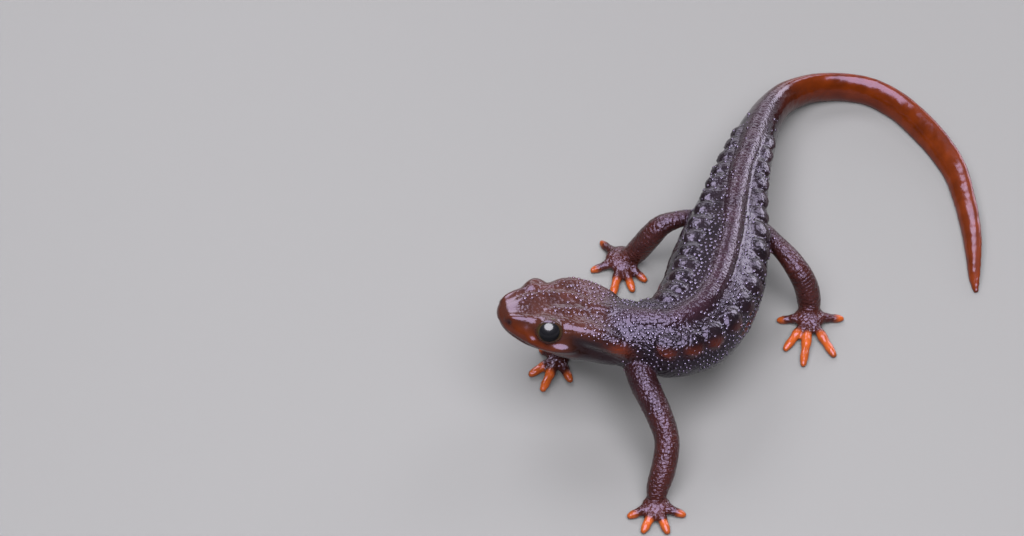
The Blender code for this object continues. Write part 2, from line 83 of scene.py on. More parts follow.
class Side(Enum):
    """Sides of the body, as the sign of the way left."""

    LEFT = 1
    RIGHT = -1


def smoothstep(low: float, high: float, value: Array) -> Array:
    """Soft step from 0 at low to 1 at high."""
    share = np.clip((value - low) / (high - low), 0.0, 1.0)
    return share * share * (3.0 - 2.0 * share)


def bump(value: Array, middle: float, half: float) -> Array:
    """Bell of height 1 round a middle value."""
    return np.exp(-(((value - middle) / half) ** 2))


def window(value: Array, start: float, full: float, last: float, end: float) -> Array:
    """1 between full and last, falling softly to 0 at start and end."""
    return smoothstep(start, full, value) * smoothstep(end, last, value)


def unit(vectors: Array) -> Array:
    """Vectors scaled to length 1."""
    return vectors / np.maximum(np.linalg.norm(vectors, axis=-1, keepdims=True), 1e-12)


def run_along(points: Array) -> Array:
    """Distance along a line of points to each of them."""
    return np.concatenate([[0.0], np.cumsum(np.linalg.norm(np.diff(points, axis=0), axis=1))])


def curve_through(knots: Array, values: Array, at: Array, monotone: bool = True) -> Array:
    """Smooth cubic curve through values, read at some places.

    Args:
        knots: Places of the values, rising.
        values: One row for each knot.
        at: Places to read.
        monotone: Whether the curve never overshoots between knots.

    Returns:
        One row for each place read.
    """
    knots, values, at = np.asarray(knots, float), np.asarray(values, float), np.asarray(at, float)
    steps = np.diff(knots)[:, None]
    rises = np.diff(values, axis=0) / steps
    before, after = rises[:-1], rises[1:]
    if monotone:
        total = np.where(np.abs(before + after) > 1e-9, before + after, 1.0)
        middle = np.where(before * after > 0, 2 * before * after / total, 0.0)
    else:
        middle = (before * steps[1:] + after * steps[:-1]) / (steps[1:] + steps[:-1])
    slopes = np.vstack([rises[:1], middle, rises[-1:]])
    left = np.clip(np.searchsorted(knots, at, side="right") - 1, 0, len(knots) - 2)
    span = (knots[left + 1] - knots[left])[:, None]
    share = (at - knots[left])[:, None] / span
    square, cube = share**2, share**3
    start = (2 * cube - 3 * square + 1) * values[left] + (cube - 2 * square + share) * span * slopes[left]
    end = (3 * square - 2 * cube) * values[left + 1] + (cube - square) * span * slopes[left + 1]
    return start + end


def facing_out(shape: Shape) -> Shape:
    """Turns every face of a closed shape outwards.

    Args:
        shape: Closed shape, changed in place.

    Returns:
        The same shape.
    """
    bmesh.ops.recalc_face_normals(shape, faces=shape.faces)
    if shape.calc_volume(signed=True) < 0:
        bmesh.ops.reverse_faces(shape, faces=shape.faces)
    return shape


def loft(rings: Sequence[Array]) -> Shape:
    """Closed surface through rings of equal length, capped at both ends.

    Args:
        rings: Rows of points, one for each ring.

    Returns:
        The shape.
    """
    shape = bmesh.new()
    rows = [[shape.verts.new(point) for point in ring] for ring in rings]
    for near, far in zip(rows, rows[1:]):
        for spot in range(len(near)):
            shape.faces.new((near[spot - 1], near[spot], far[spot], far[spot - 1]))
    shape.faces.new(rows[0])
    shape.faces.new(rows[-1])
    return facing_out(shape)


def ellipsoid(middle: Vector, axes: Matrix, radii: Sequence[float], detail: int = 24) -> Shape:
    """Closed ball stretched along three axes.

    Args:
        middle: Middle of the ball.
        axes: Matrix whose rows are the axes.
        radii: Half size along each axis.
        detail: Number of faces round the ball.

    Returns:
        The shape.
    """
    shape = bmesh.new()
    columns = [Vector(axes[row]) * radii[row] for row in range(3)]
    place = Matrix.Translation(middle) @ Matrix(columns).transposed().to_4x4()
    bmesh.ops.create_uvsphere(shape, u_segments=detail, v_segments=detail // 2, radius=1.0, matrix=place)
    return facing_out(shape)


def tube(spots: Array, around: int = 20, step: float = 0.45) -> Shape:
    """Round-ended tube along a path.

    Args:
        spots: Rows of x, y, z and radius.
        around: Number of faces round it.
        step: Length of its faces.

    Returns:
        The shape.
    """
    spots = np.asarray(spots, float)
    run = run_along(spots[:, :3])
    at = np.linspace(0.0, run[-1], max(6, int(run[-1] / step)))
    middles = curve_through(run, spots[:, :3], at, monotone=False)
    radii = curve_through(run, spots[:, 3:], at)[:, 0]
    turns = np.radians([20, 42, 62, 80])
    for _ in range(2):
        way = unit(middles[-1] - middles[-2])
        middles = np.vstack([middles, middles[-1] + radii[-1] * np.sin(turns)[:, None] * way])
        radii = np.concatenate([radii, radii[-1] * np.cos(turns)])
        middles, radii = middles[::-1], radii[::-1]
    along = unit(np.gradient(middles, axis=0))
    side = unit(np.cross(along[0], [0.31, 0.42, 0.85]))
    angles = np.linspace(0, 2 * math.pi, around, endpoint=False)
    rings = []
    for middle, way, radius in zip(middles, along, radii):
        side = unit(side - way * side.dot(way))
        over = np.cross(side, way)
        rings.append(middle + radius * (np.cos(angles)[:, None] * side + np.sin(angles)[:, None] * over))
    return loft(rings)


def mesh_of(shape: Shape, name: str) -> Mesh:
    """Mesh with a shape's faces, after which the shape is freed.

    Args:
        shape: Shape to copy and free.
        name: Name of the mesh.

    Returns:
        The mesh.
    """
    mesh = bpy.data.meshes.new(name)
    shape.to_mesh(mesh)
    shape.free()
    return mesh


def rows_of(items: bpy.types.bpy_prop_collection, key: str) -> Array:
    """Rows of three numbers that a collection holds, such as the places of a mesh's points.

    Args:
        items: Collection to read.
        key: Name of the value to read from each item.

    Returns:
        One row for each item.
    """
    flat = np.empty(len(items) * 3, np.float32)
    items.foreach_get(key, flat)
    return flat.reshape(-1, 3)


def store(mesh: Mesh, name: str, values: Sequence[float] | Array) -> None:
    """Writes an attribute with one number, or one row of three, for each point.

    Args:
        mesh: Mesh that gets the attribute.
        name: Name of the attribute.
        values: One number or row for each point.
    """
    values = np.asarray(values).astype(np.float32)
    kind, key = ("FLOAT", "value") if values.ndim == 1 else ("FLOAT_VECTOR", "vector")
    mesh.attributes.new(name, kind, "POINT").data.foreach_set(key, values.ravel())


def linked(name: str, data: bpy.types.ID) -> Object:
    """New object in the scene for a mesh, lamp or camera.

    Args:
        name: Name of the object.
        data: What the object carries.

    Returns:
        The object.
    """
    holder = bpy.data.objects.new(name, data)
    bpy.context.scene.collection.objects.link(holder)
    return holder


def settled(carrier: Object) -> Mesh:
    """Plain mesh of an object with its modifiers at work, after which the object is removed.

    Args:
        carrier: Object in the scene, whose mesh is removed too.

    Returns:
        The evaluated mesh.
    """
    graph = bpy.context.evaluated_depsgraph_get()
    made = bpy.data.meshes.new_from_object(carrier.evaluated_get(graph))
    carrier.modifiers.clear()
    old = carrier.data
    bpy.data.objects.remove(carrier)
    bpy.data.meshes.remove(old)
    return made


def grown(mesh: Mesh, tree: Tree, values: dict[str, float]) -> Mesh:
    """Runs a geometry tree on a mesh, which is removed.

    Args:
        mesh: Mesh that the tree reads.
        tree: Geometry tree with named inputs.
        values: Input name to value, where it differs from the tree's own.

    Returns:
        The tree's result as a plain mesh.
    """
    carrier = linked("carrier", mesh)
    change = carrier.modifiers.new(tree.name, "NODES")
    change.node_group = tree
    for socket in tree.interface.items_tree:
        if getattr(socket, "in_out", "") == "INPUT" and socket.name in values:
            change[socket.identifier] = values[socket.name]
    return settled(carrier)


@dataclass
class Graph:
    """Node tree whose nodes are each added and linked in one call.

    Attributes:
        tree: Tree that the nodes are added to.
        given: Sockets of the group's own inputs.
        result: Sockets of the group's own outputs.
    """

    tree: Tree
    given: bpy.types.NodeOutputs | None = None
    result: bpy.types.NodeInputs | None = None

    @classmethod
    def group(
        cls, name: str, kind: str, inputs: dict[str, tuple[str, float | None]], outputs: dict[str, str]
    ) -> "Graph":
        """Starts a node group with named inputs and outputs.

        Args:
            name: Name of the group.
            kind: Type of the tree.
            inputs: Input name to type of socket and value, which is None where it has no value.
            outputs: Output name to type of socket.

        Returns:
            The graph of the new group.
        """
        tree = bpy.data.node_groups.new(name, kind)
        for label, (socket, value) in inputs.items():
            made = tree.interface.new_socket(label, in_out="INPUT", socket_type=f"NodeSocket{socket}")
            if value is not None:
                made.default_value = value
        for label, socket in outputs.items():
            tree.interface.new_socket(label, in_out="OUTPUT", socket_type=f"NodeSocket{socket}")
        return cls(tree, tree.nodes.new("NodeGroupInput").outputs, tree.nodes.new("NodeGroupOutput").inputs)

    def feed(self, node: Node, inputs: dict[str | int, object]) -> Node:
        """Links inputs of a node to sockets, or gives them values.

        Args:
            node: Node of the tree.
            inputs: Input name or number to a socket or a value.

        Returns:
            The same node.
        """
        for name, value in inputs.items():
            if isinstance(value, Socket):
                self.tree.links.new(value, node.inputs[name])
            else:
                node.inputs[name].default_value = value
        return node

    def add(self, kind: str, inputs: dict[str | int, object] | None = None, **settings: object) -> Node:
        """Adds a node, sets its own settings and then feeds its inputs.

        Args:
            kind: Type of the node.
            inputs: Input name or number to a socket or a value.
            **settings: Setting of the node to its value.

        Returns:
            The node.
        """
        node = self.tree.nodes.new(kind)
        for name, value in settings.items():
            setattr(node, name, value)
        return self.feed(node, inputs or {})

    def maths(self, operation: str, *values: float | Socket) -> Socket:
        """Result of one sum with numbers or sockets."""
        return self.add("ShaderNodeMath", dict(enumerate(values)), operation=operation).outputs[0]

    def weighed(self, first: Socket, one: float, second: Socket, two: float) -> Socket:
        """First value times one plus second value times two."""
        return self.maths("MULTIPLY_ADD", second, two, self.maths("MULTIPLY", first, one))

    def mask(self, name: str) -> Socket:
        """Attribute of the mesh that a material reads as one number."""
        return self.add("ShaderNodeAttribute", attribute_name=name).outputs["Fac"]

    def stored(self, name: str, kind: str) -> Socket:
        """Attribute of the mesh that a geometry tree reads."""
        reader = self.add("GeometryNodeInputNamedAttribute", {"Name": name}, data_type=kind)
        return reader.outputs["Attribute"]

    def mixed(self, base: object, over: object, factor: object, blend: str = "MIX") -> Socket:
        """Colour laid over another, each a socket or a value."""
        inputs = {"Factor": factor, "A": base, "B": over}
        return self.add("ShaderNodeMix", inputs, data_type="RGBA", blend_type=blend).outputs["Result"]

    def ranged(
        self, value: Socket, start: float, end: float, low: float, high: float, way: str = "LINEAR"
    ) -> Socket:
        """Value between start and end, brought to between low and high."""
        inputs = {"Value": value, "From Min": start, "From Max": end, "To Min": low, "To Max": high}
        return self.add("ShaderNodeMapRange", inputs, interpolation_type=way).outputs["Result"]

    def finished(self, instances: Socket, material: Material | None = None) -> Tree:
        """Ends a geometry tree: its instances are made real and get their material.

        Args:
            instances: Socket with the instances.
            material: Finish of the pieces, none where the result gets it later.

        Returns:
            The finished tree.
        """
        real = self.add("GeometryNodeRealizeInstances", {"Geometry": instances}).outputs["Geometry"]
        dressed = self.add("GeometryNodeSetMaterial", {"Geometry": real, "Material": material})
        self.tree.links.new(dressed.outputs["Geometry"], self.result["Geometry"])
        return self.tree


def new_material(name: str) -> tuple[Material, Graph, Node]:
    """Starts a material.

    Args:
        name: Name of the material.

    Returns:
        The material, its graph and its shader.
    """
    material = bpy.data.materials.new(name)
    material.use_nodes = True
    return material, Graph(material.node_tree), material.node_tree.nodes["Principled BSDF"]


@dataclass(frozen=True)
class HeadAxes:
    """Set of the head: where the snout tip lies and how the head is turned."""

    snout: tuple[float, float, float] = (-2.45, -27.2, 20.4)
    yaw: float = 9.0
    pitch: float = 18.0
    roll: float = 5.0
    bend: float = 0.019
    bend_start: float = 9.0

    def matrix(self) -> Matrix:
        """Works out how the head is turned.

        Returns:
            Rows back, left and up of the head, as unit vectors.
        """
        yaw, pitch, roll = (math.radians(turn) for turn in (self.yaw, self.pitch, self.roll))
        back = Vector((math.cos(yaw) * math.cos(pitch), math.sin(yaw) * math.cos(pitch), -math.sin(pitch)))
        left = back.cross(Vector((0.0, 0.0, 1.0))).normalized()
        up = left.cross(back)
        rolled_left = left * math.cos(roll) + up * math.sin(roll)
        rolled_up = up * math.cos(roll) - left * math.sin(roll)
        return Matrix((back, rolled_left, rolled_up))

    def point(self, back: float, left: float, up: float) -> Vector:
        """Plan point of a place measured on the head.

        Args:
            back: Distance behind the tip of the snout.
            left: Distance to the left of the middle.
            up: Height above the tip of the snout.

        Returns:
            The point on the plan.
        """
        bend = self.bend * max(0.0, back - self.bend_start) ** 2
        place = Vector((back, float(left) + bend, float(up)))
        return Vector(self.snout) + self.matrix().transposed() @ place

    def measure(self, points: Array) -> Array:
        """Measures plan points on the head, the other way round from point.

        Args:
            points: Places on the plan.

        Returns:
            Back, left and up of each point.
        """
        local = (points - np.array(self.snout)) @ np.array(self.matrix()).T
        local[:, 1] -= self.bend * np.maximum(0.0, local[:, 0] - self.bend_start) ** 2
        return local


@dataclass(frozen=True)
class BodyPlan:
    """Middle line and cross sections from the snout to the tail tip."""

    head: HeadAxes = field(default_factory=HeadAxes)
    ridge_half: float = 1.75
    ridge_power: float = 2.7
    probe: float = 0.4
    # back, lift, half width, half height, squareness
    head_stations: tuple = (
        (0.0, 0.0, 0.7, 0.5, 2.0),
        (0.4, 0.0, 1.9, 1.2, 2.0),
        (1.3, 0.0, 3.3, 2.0, 2.1),
        (2.8, 0.0, 4.65, 2.65, 2.2),
        (5.2, 0.0, 6.1, 3.3, 2.3),
        (8.3, 0.0, 7.0, 3.8, 2.3),
        (11.5, 0.0, 7.6, 4.2, 2.3),
        (14.5, 0.0, 7.4, 4.5, 2.2),
        (18.0, 0.0, 6.5, 4.9, 2.1),
    )
    # x, y, z, half width, half height, lean, ridge height, squareness
    body_stations: tuple = (
        (22.0, -27.4, 14.6, 5.9, 5.6, 0.0, 0.7, 2.0),
        (26.4, -27.4, 14.1, 7.3, 6.0, 4.0, 0.9, 2.1),
        (30.7, -24.2, 13.2, 8.3, 6.1, 9.0, 1.0, 2.2),
        (33.8, -18.4, 12.2, 8.7, 6.1, 12.0, 1.0, 2.2),
        (35.8, -11.8, 11.3, 8.8, 6.1, 13.0, 1.0, 2.2),
        (37.4, -4.9, 10.6, 8.2, 5.9, 12.0, 1.0, 2.2),
        (38.7, 1.4, 9.9, 7.0, 5.6, 9.0, 1.0, 2.2),
        (40.0, 6.8, 9.4, 6.1, 5.3, 5.0, 0.9, 2.2),
        (41.4, 12.0, 8.9, 5.3, 5.0, 0.0, 0.8, 2.2),
        (42.8, 17.2, 8.3, 4.6, 4.7, 0.0, 0.7, 2.1),
        (44.4, 22.6, 7.4, 4.1, 4.5, 0.0, 0.6, 2.1),
        (46.1, 28.3, 6.4, 3.6, 4.2, 0.0, 0.5, 2.0),
        (48.5, 33.8, 5.3, 3.0, 3.8, -2.0, 0.4, 1.9),
        (51.5, 38.2, 4.15, 2.5, 3.5, -5.0, 0.3, 1.9),
        (56.0, 41.3, 3.35, 2.1, 3.2, -8.0, 0.2, 1.8),
        (61.6, 42.5, 2.85, 1.7, 3.0, -14.0, 0.1, 1.8),
        (67.6, 41.7, 2.58, 1.5, 2.9, -22.0, 0.0, 1.8),
        (72.8, 38.2, 2.36, 1.4, 2.85, -31.0, 0.0, 1.8),
        (77.0, 32.9, 2.16, 1.3, 2.8, -38.0, 0.0, 1.8),
        (80.3, 27.3, 1.93, 1.2, 2.7, -44.0, 0.0, 1.8),
        (82.3, 22.3, 1.7, 1.15, 2.5, -48.0, 0.0, 1.8),
        (83.2, 17.3, 1.51, 1.1, 2.3, -50.0, 0.0, 1.8),
        (83.8, 11.7, 1.34, 1.0, 2.15, -52.0, 0.0, 1.8),
        (84.0, 6.3, 1.16, 0.95, 1.9, -54.0, 0.0, 1.8),
        (83.8, 1.3, 0.89, 0.8, 1.5, -56.0, 0.0, 1.8),
        (83.5, -3.4, 0.55, 0.55, 1.0, -58.0, 0.0, 1.9),
        (83.5, -5.9, 0.27, 0.35, 0.45, -58.0, 0.0, 2.0),
    )

    def table(self) -> tuple[Array, Array, Array]:
        """Lists the stations of the body.

        Returns:
            Distance from the snout, middle and section sizes of every station.
        """
        middles, sizes = [], []
        for back, lift, width, height, square in self.head_stations:
            middles.append(self.head.point(back, 0.0, lift)[:])
            sizes.append((width, height, -self.head.roll, 0.0, square))
        for x, y, z, width, height, lean, ridge, square in self.body_stations:
            middles.append((x, y, z))
            sizes.append((width, height, lean, ridge, square))
        return run_along(np.array(middles)), np.array(middles), np.array(sizes)

    def frames(self, places: Array) -> tuple[Array, Array, Array, Array, Array]:
        """Works out how the body lies.

        Args:
            places: Distances from the snout.

        Returns:
            Middle, way along, left, up and section sizes of the body at each place.
        """
        run, middles, sizes = self.table()
        places = np.clip(places, 0.0, run[-1])
        centre = curve_through(run, middles, places, monotone=False)
        ahead = curve_through(run, middles, np.clip(places + self.probe, 0, run[-1]), monotone=False)
        behind = curve_through(run, middles, np.clip(places - self.probe, 0, run[-1]), monotone=False)
        along = unit(ahead - behind)
        left = unit(np.cross(along, [0.0, 0.0, 1.0]))
        up = np.cross(left, along)
        size = curve_through(run, sizes, places)
        lean = np.radians(size[:, 2])[:, None]
        tilted_up = up * np.cos(lean) + left * np.sin(lean)
        tilted_left = left * np.cos(lean) - up * np.sin(lean)
        return centre, along, tilted_left, tilted_up, size

    def rings(self, spacing: float = 0.6, around: int = 64) -> list[Array]:
        """Rings of points round the whole body, with the ridge along its back.

        Args:
            spacing: Distance between rings.
            around: Number of points round each ring.

        Returns:
            The rings, from the snout to the tail tip.
        """
        length = self.table()[0][-1]
        places = np.concatenate([[0.0, 0.15, 0.35, 0.6], np.arange(0.9, length, spacing), [length]])
        centre, _, left, up, size = self.frames(places)
        turns = np.linspace(0, 2 * math.pi, around, endpoint=False)
        cosine, sine = np.cos(turns), np.sin(turns)
        rings = []
        for index in range(len(places)):
            width, height, _, ridge, square = size[index]
            across = width * np.sign(cosine) * np.abs(cosine) ** (2 / square)
            above = height * np.sign(sine) * np.abs(sine) ** (2 / square)
            crest = ridge * np.exp(-(np.abs(across / self.ridge_half) ** self.ridge_power))
            above = above + np.where(sine > 0, crest, 0.0)
            rings.append(centre[index] + across[:, None] * left[index] + above[:, None] * up[index])
        return rings

    def half_width(self, back: float, up: float) -> float:
        """Half width of the plain head at one place.

        Args:
            back: Distance back from the snout.
            up: Height over the head's middle line.

        Returns:
            The half width in mm.
        """
        stations = np.array(self.head_stations)
        lift, width, height, square = curve_through(stations[:, 0], stations[:, 1:], np.array([back]))[0]
        share = min(1.0, abs(up - lift) / height)
        return float(width * (1 - share**square) ** (1 / square))


@dataclass(frozen=True)
class HeadForms:
    """Glands, brows, ridges, lip and eyes of the head, in mm back, left and up."""

    plan: BodyPlan
    eye: tuple[float, float, float] = (7.6, 4.3, 1.95)
    far_eye_shift: tuple[float, float, float] = (-0.5, -0.4, -0.3)
    eye_out: float = 0.8
    eye_up: float = 0.1
    eye_radius: float = 2.1
    eye_way: tuple[float, float, float] = (-0.22, 0.85, 0.45)
    brow: tuple[float, float, float] = (2.6, 2.05, 2.35)
    # back, left, up and radius of each spot
    parotoid: tuple = (
        (10.6, 4.7, 2.4, 1.6),
        (14.5, 4.9, 2.2, 2.3),
        (18.5, 4.7, 2.0, 2.4),
        (20.9, 4.5, 2.0, 2.0),
    )
    temple: tuple = ((8.0, 3.8, 2.9, 1.1), (11.0, 4.4, 2.9, 1.3))
    crown: tuple = ((13.5, 0.0, 4.1, 0.5), (17.0, 0.0, 4.5, 0.8), (21.0, 0.0, 5.0, 0.7))
    nostril: tuple[float, float, float] = (1.2, 2.86, 0.84)
    mouth: tuple = ((-2.0, -0.9), (3.0, -1.3), (8.0, -2.0), (12.6, -2.3))
    mouth_corner: float = 12.6
    lip_backs: tuple = (12.4, 10.4, 8.2, 6.0, 4.0, 2.6, 1.5)
    lip_rise: float = 0.55
    lip_radius: float = 0.62
    lip_sunk: float = 0.78
    lip_sunk_front: float = 0.7
    lip_front: tuple[float, float] = (6.5, 3.0)

    def ridge(self, spots: tuple, side: Side) -> Shape:
        """Rounded ridge along spots on one side of the head."""
        point, out = self.plan.head.point, side.value
        return tube(np.array([(*point(back, left * out, up), thick) for back, left, up, thick in spots]))

    def mouth_height(self, back: Array) -> Array:
        """Height of the mouth line at places back from the snout."""
        line = np.array(self.mouth)
        return np.interp(back, line[:, 0], line[:, 1])

    def lip(self) -> Shape:
        """Rounded rim above the mouth line, from one corner round the snout to the other.

        Returns:
            The shape.
        """
        near = []
        start, length = self.lip_front
        for back in self.lip_backs:
            up = float(self.mouth_height(back)) + self.lip_rise
            sunk = self.lip_sunk + self.lip_sunk_front * max(0.0, min(1.0, (start - back) / length))
            near.append((back, self.plan.half_width(back, up) - sunk * self.lip_radius, up))
        path = near + [(back, -left, up) for back, left, up in reversed(near)]
        return tube(np.array([(*self.plan.head.point(*spot), self.lip_radius) for spot in path]))

    def eye_spot(self, side: Side) -> Array:
        """Middle of one brow: the far one sits further forwards, inwards and lower."""
        return np.array(self.eye) + (np.array(self.far_eye_shift) if side is Side.RIGHT else 0.0)

    def eye_middle(self, side: Side) -> Vector:
        """Middle of one eyeball on the plan."""
        back, left, up = self.eye_spot(side)
        return self.plan.head.point(back, (left + self.eye_out) * side.value, up + self.eye_up)

    def gaze(self, side: Side) -> Vector:
        """Way that one eye faces: out, up and a little forwards."""
        (back, left, up), (ahead, out, rise) = self.plan.head.matrix(), self.eye_way
        return (left * side.value * out + up * rise + back * ahead).normalized()

    def build(self) -> list[Shape]:
        """Makes every raised form of the head.

        Returns:
            The closed shapes.
        """
        axes = self.plan.head.matrix()
        forms = [self.ridge(self.crown, Side.LEFT), self.lip()]
        for side in Side:
            back, left, up = self.eye_spot(side)
            forms.append(ellipsoid(self.plan.head.point(back, left * side.value, up), axes, self.brow))
            forms += [self.ridge(spots, side) for spots in (self.parotoid, self.temple)]
        return forms


@dataclass(frozen=True)
class NoduleRows:
    """Rib nodules: one row down each flank, set along the body by a points tree."""

    plan: BodyPlan
    left: tuple = (29.0, 31.1, 33.8, 37.6, 42.2, 45.9, 50.3, 54.8, 59.0, 63.2, 67.3, 71.4, 75.4, 79.4, 83.3)
    right: tuple = (27.0, 32.4, 36.5, 40.8, 44.7, 48.5, 52.4, 56.5, 60.6, 64.6, 68.6, 72.6, 76.5, 80.4, 84.2)
    share: float = 0.7
    size: tuple[float, float, float] = (2.3, 2.15, 0.66)
    sunk: float = 0.1
    tilts: tuple[float, float] = (0.7, 0.36)
    tilt_places: tuple[float, float] = (36.0, 46.0)
    upright: float = 0.95
    factors: tuple[float, float] = (0.92, 0.16)
    gap_half: float = 0.18
    least_stretch: float = 0.72
    shrink: tuple[float, float] = (0.45, 14.0)
    ring_detail: int = 14
    seed: int = 7

    def spots(self) -> list[tuple[float, Side, float]]:
        """Lists the nodules.

        Returns:
            Place along the body, side and size factor of every nodule.
        """
        chance = np.random.default_rng(self.seed)
        start, length = self.factors
        rows = []
        for side, places in ((Side.LEFT, self.left), (Side.RIGHT, self.right)):
            rows += [(place, side, start + length * chance.random()) for place in places]
        return rows

    def gaps(self, run: Array, across: Array) -> Array:
        """1 halfway between two nodules of a row, fading towards both.

        Args:
            run: Distance of each point along the body.
            across: Place of each point across the body, left positive.

        Returns:
            One value for each point.
        """
        left, right = (np.interp(run, row, np.arange(len(row))) for row in (self.left, self.right))
        steps = np.where(across > 0, left, right)
        return np.exp(-(((steps - np.round(steps - 0.5) - 0.5) / self.gap_half) ** 2))

    def on_skin(self, place: float, side: Side) -> tuple[Vector, Vector, Vector, float]:
        """Finds where one nodule sits.

        Args:
            place: Distance along the body.
            side: Side of the body.

        Returns:
            Point on the skin, way along, way out and half width of the body there.
        """
        centre, along, left, up, size = (value[0] for value in self.plan.frames(np.array([place])))
        width, height, _, _, square = size
        above = height * (1 - self.share**square) ** (1 / square)
        tilt = float(np.interp(place, self.tilt_places, self.tilts))
        outward = Vector(up * self.upright + side.value * left * tilt).normalized()
        spot = Vector(centre + side.value * self.share * width * left + above * up)
        return spot, Vector(along), outward, width

    def middles(self) -> Array:
        """Middle of every nodule on the plan."""
        return np.array([self.on_skin(place, side)[0][:] for place, side, _ in self.spots()])

    def tree(self) -> Tree:
        """Points tree that sets one stretched ball on each point, turned and sized by its attributes.

        Returns:
            The tree.
        """
        inputs = {"Geometry": ("Geometry", None), "Ring detail": ("Int", self.ring_detail)}
        graph = Graph.group("nodule_rows", "GeometryNodeTree", inputs, {"Geometry": "Geometry"})
        detail = graph.given["Ring detail"]
        points = graph.add("GeometryNodeMeshToPoints", {"Mesh": graph.given["Geometry"]})
        ball = graph.add("GeometryNodeMeshUVSphere", {"Radius": 1.0, "Rings": detail, "Segments": detail})
        place = graph.add(
            "GeometryNodeInstanceOnPoints",
            {
                "Points": points.outputs["Points"],
                "Instance": ball.outputs["Mesh"],
                "Rotation": graph.stored("turn", "FLOAT_VECTOR"),
                "Scale": graph.stored("size", "FLOAT_VECTOR"),
            },
        )
        return graph.finished(place.outputs["Instances"])

    def build(self) -> list[Shape]:
        """Makes both rows of nodules.

        Returns:
            One shape of separate closed balls, in a list.
        """
        middles, turns, sizes = [], [], []
        long, wide, proud = self.size
        for place, side, factor in self.spots():
            spot, along, outward, width = self.on_skin(place, side)
            ahead, behind = self.on_skin(place + 0.5, side)[0], self.on_skin(place - 0.5, side)[0]
            stretch = max(self.least_stretch, min((ahead - behind).length, 1.0))
            shrink = factor * min(1.0, self.shrink[0] + width / self.shrink[1])
            across = outward.cross(along).normalized()
            turns.append(Matrix((across.cross(outward), across, outward)).transposed().to_euler()[:])
            sizes.append((long * factor * stretch, wide * shrink, proud * shrink))
            middles.append((spot - outward * self.sunk)[:])
        seeds = bpy.data.meshes.new("nodule_seeds")
        seeds.from_pydata(middles, [], [])
        store(seeds, "turn", turns)
        store(seeds, "size", sizes)
        made = grown(seeds, self.tree(), {})
        shape = bmesh.new()
        shape.from_mesh(made)
        bpy.data.meshes.remove(made)
        return [shape]


@dataclass(frozen=True)
class Limb:
    """One leg: its path with radii, its palm and the tips of its toes, in mm."""

    path: tuple
    palm: tuple
    tips: tuple
    digit: float = 0.82
    knuckle: float = 0.95
    trim: float = 0.25

    def toe(self, tip: tuple[float, float]) -> Array:
        """Path of one toe.

        Args:
            tip: Place of its tip on the floor.

        Returns:
            Rows of x, y, z and radius.
        """
        root = np.array(self.palm[:2])
        level = self.digit - self.trim
        shares = (0.15, 0.34, 0.5, 0.64, 0.78, 0.93)
        heights = (self.palm[2], level + 0.4, level + 0.25, level + 0.1, level, level - 0.1)
        thick = [self.digit * share for share in (1.0, 0.98, 1.0, 0.92, 0.97, 0.72)]
        thick[2] = self.knuckle
        spots = [root + (np.array(tip) - root) * share for share in shares]
        return np.column_stack([spots, heights, thick])

    def build(self) -> list[Shape]:
        """Leg, palm and toes as closed shapes."""
        palm = ellipsoid(Vector(self.palm[:3]), Matrix.Identity(3), self.palm[3:])
        return [tube(np.array(self.path)), palm] + [tube(self.toe(tip), step=0.35) for tip in self.tips]


FORELEG_LEFT = Limb(
    path=(
        (21.2, -30.6, 13.0, 2.6),
        (22.2, -35.0, 12.3, 2.5),
        (24.9, -41.0, 10.2, 2.3),
        (26.2, -44.5, 8.0, 2.15),
        (25.6, -48.6, 5.0, 2.15),
        (24.6, -51.1, 2.6, 1.9),
        (24.3, -52.6, 1.2, 1.4),
    ),
    palm=(24.4, -53.2, 1.0, 2.5, 2.0, 1.1),
    tips=((19.6, -55.2), (22.0, -58.4), (26.2, -58.6), (29.2, -54.9)),
)
FORELEG_RIGHT = Limb(
    path=(
        (20.0, -22.6, 13.0, 2.2),
        (16.4, -18.6, 11.0, 2.1),
        (12.6, -16.4, 8.4, 2.1),
        (10.2, -17.6, 5.2, 2.1),
        (8.9, -19.6, 2.6, 1.8),
        (8.3, -21.0, 1.1, 1.4),
    ),
    palm=(8.2, -21.4, 1.0, 2.0, 2.4, 1.1),
    tips=((5.0, -19.2), (3.0, -25.0), (5.2, -28.5), (10.3, -26.3)),
)
HINDLEG_LEFT = Limb(
    path=(
        (42.2, 3.4, 9.3, 1.5),
        (44.4, 1.4, 9.5, 1.5),
        (47.3, -2.9, 9.8, 1.7),
        (49.5, -6.0, 9.4, 1.95),
        (51.4, -8.3, 7.6, 2.15),
        (52.6, -9.4, 4.8, 2.2),
        (53.0, -10.3, 2.6, 2.1),
        (53.1, -11.7, 1.2, 1.7),
    ),
    palm=(53.1, -12.4, 1.1, 2.9, 2.4, 1.2),
    tips=((47.4, -12.6), (48.1, -19.5), (51.2, -23.2), (57.1, -21.0), (59.1, -12.2)),
)
HINDLEG_RIGHT = Limb(
    path=(
        (35.8, 4.4, 9.4, 1.4),
        (33.0, 4.0, 9.6, 1.4),
        (29.6, 3.1, 9.8, 1.6),
        (26.8, 2.2, 9.2, 1.95),
        (24.8, 1.6, 6.8, 2.15),
        (23.2, 1.5, 4.0, 2.15),
        (21.8, 1.3, 2.0, 2.0),
        (20.5, 0.8, 1.2, 1.7),
    ),
    palm=(19.9, 1.1, 1.2, 3.0, 3.0, 1.3),
    tips=((24.2, -3.5), (21.8, -6.0), (18.0, -7.2), (14.3, -1.1), (16.2, 5.8)),
)
LIMBS = (FORELEG_LEFT, FORELEG_RIGHT, HINDLEG_LEFT, HINDLEG_RIGHT)


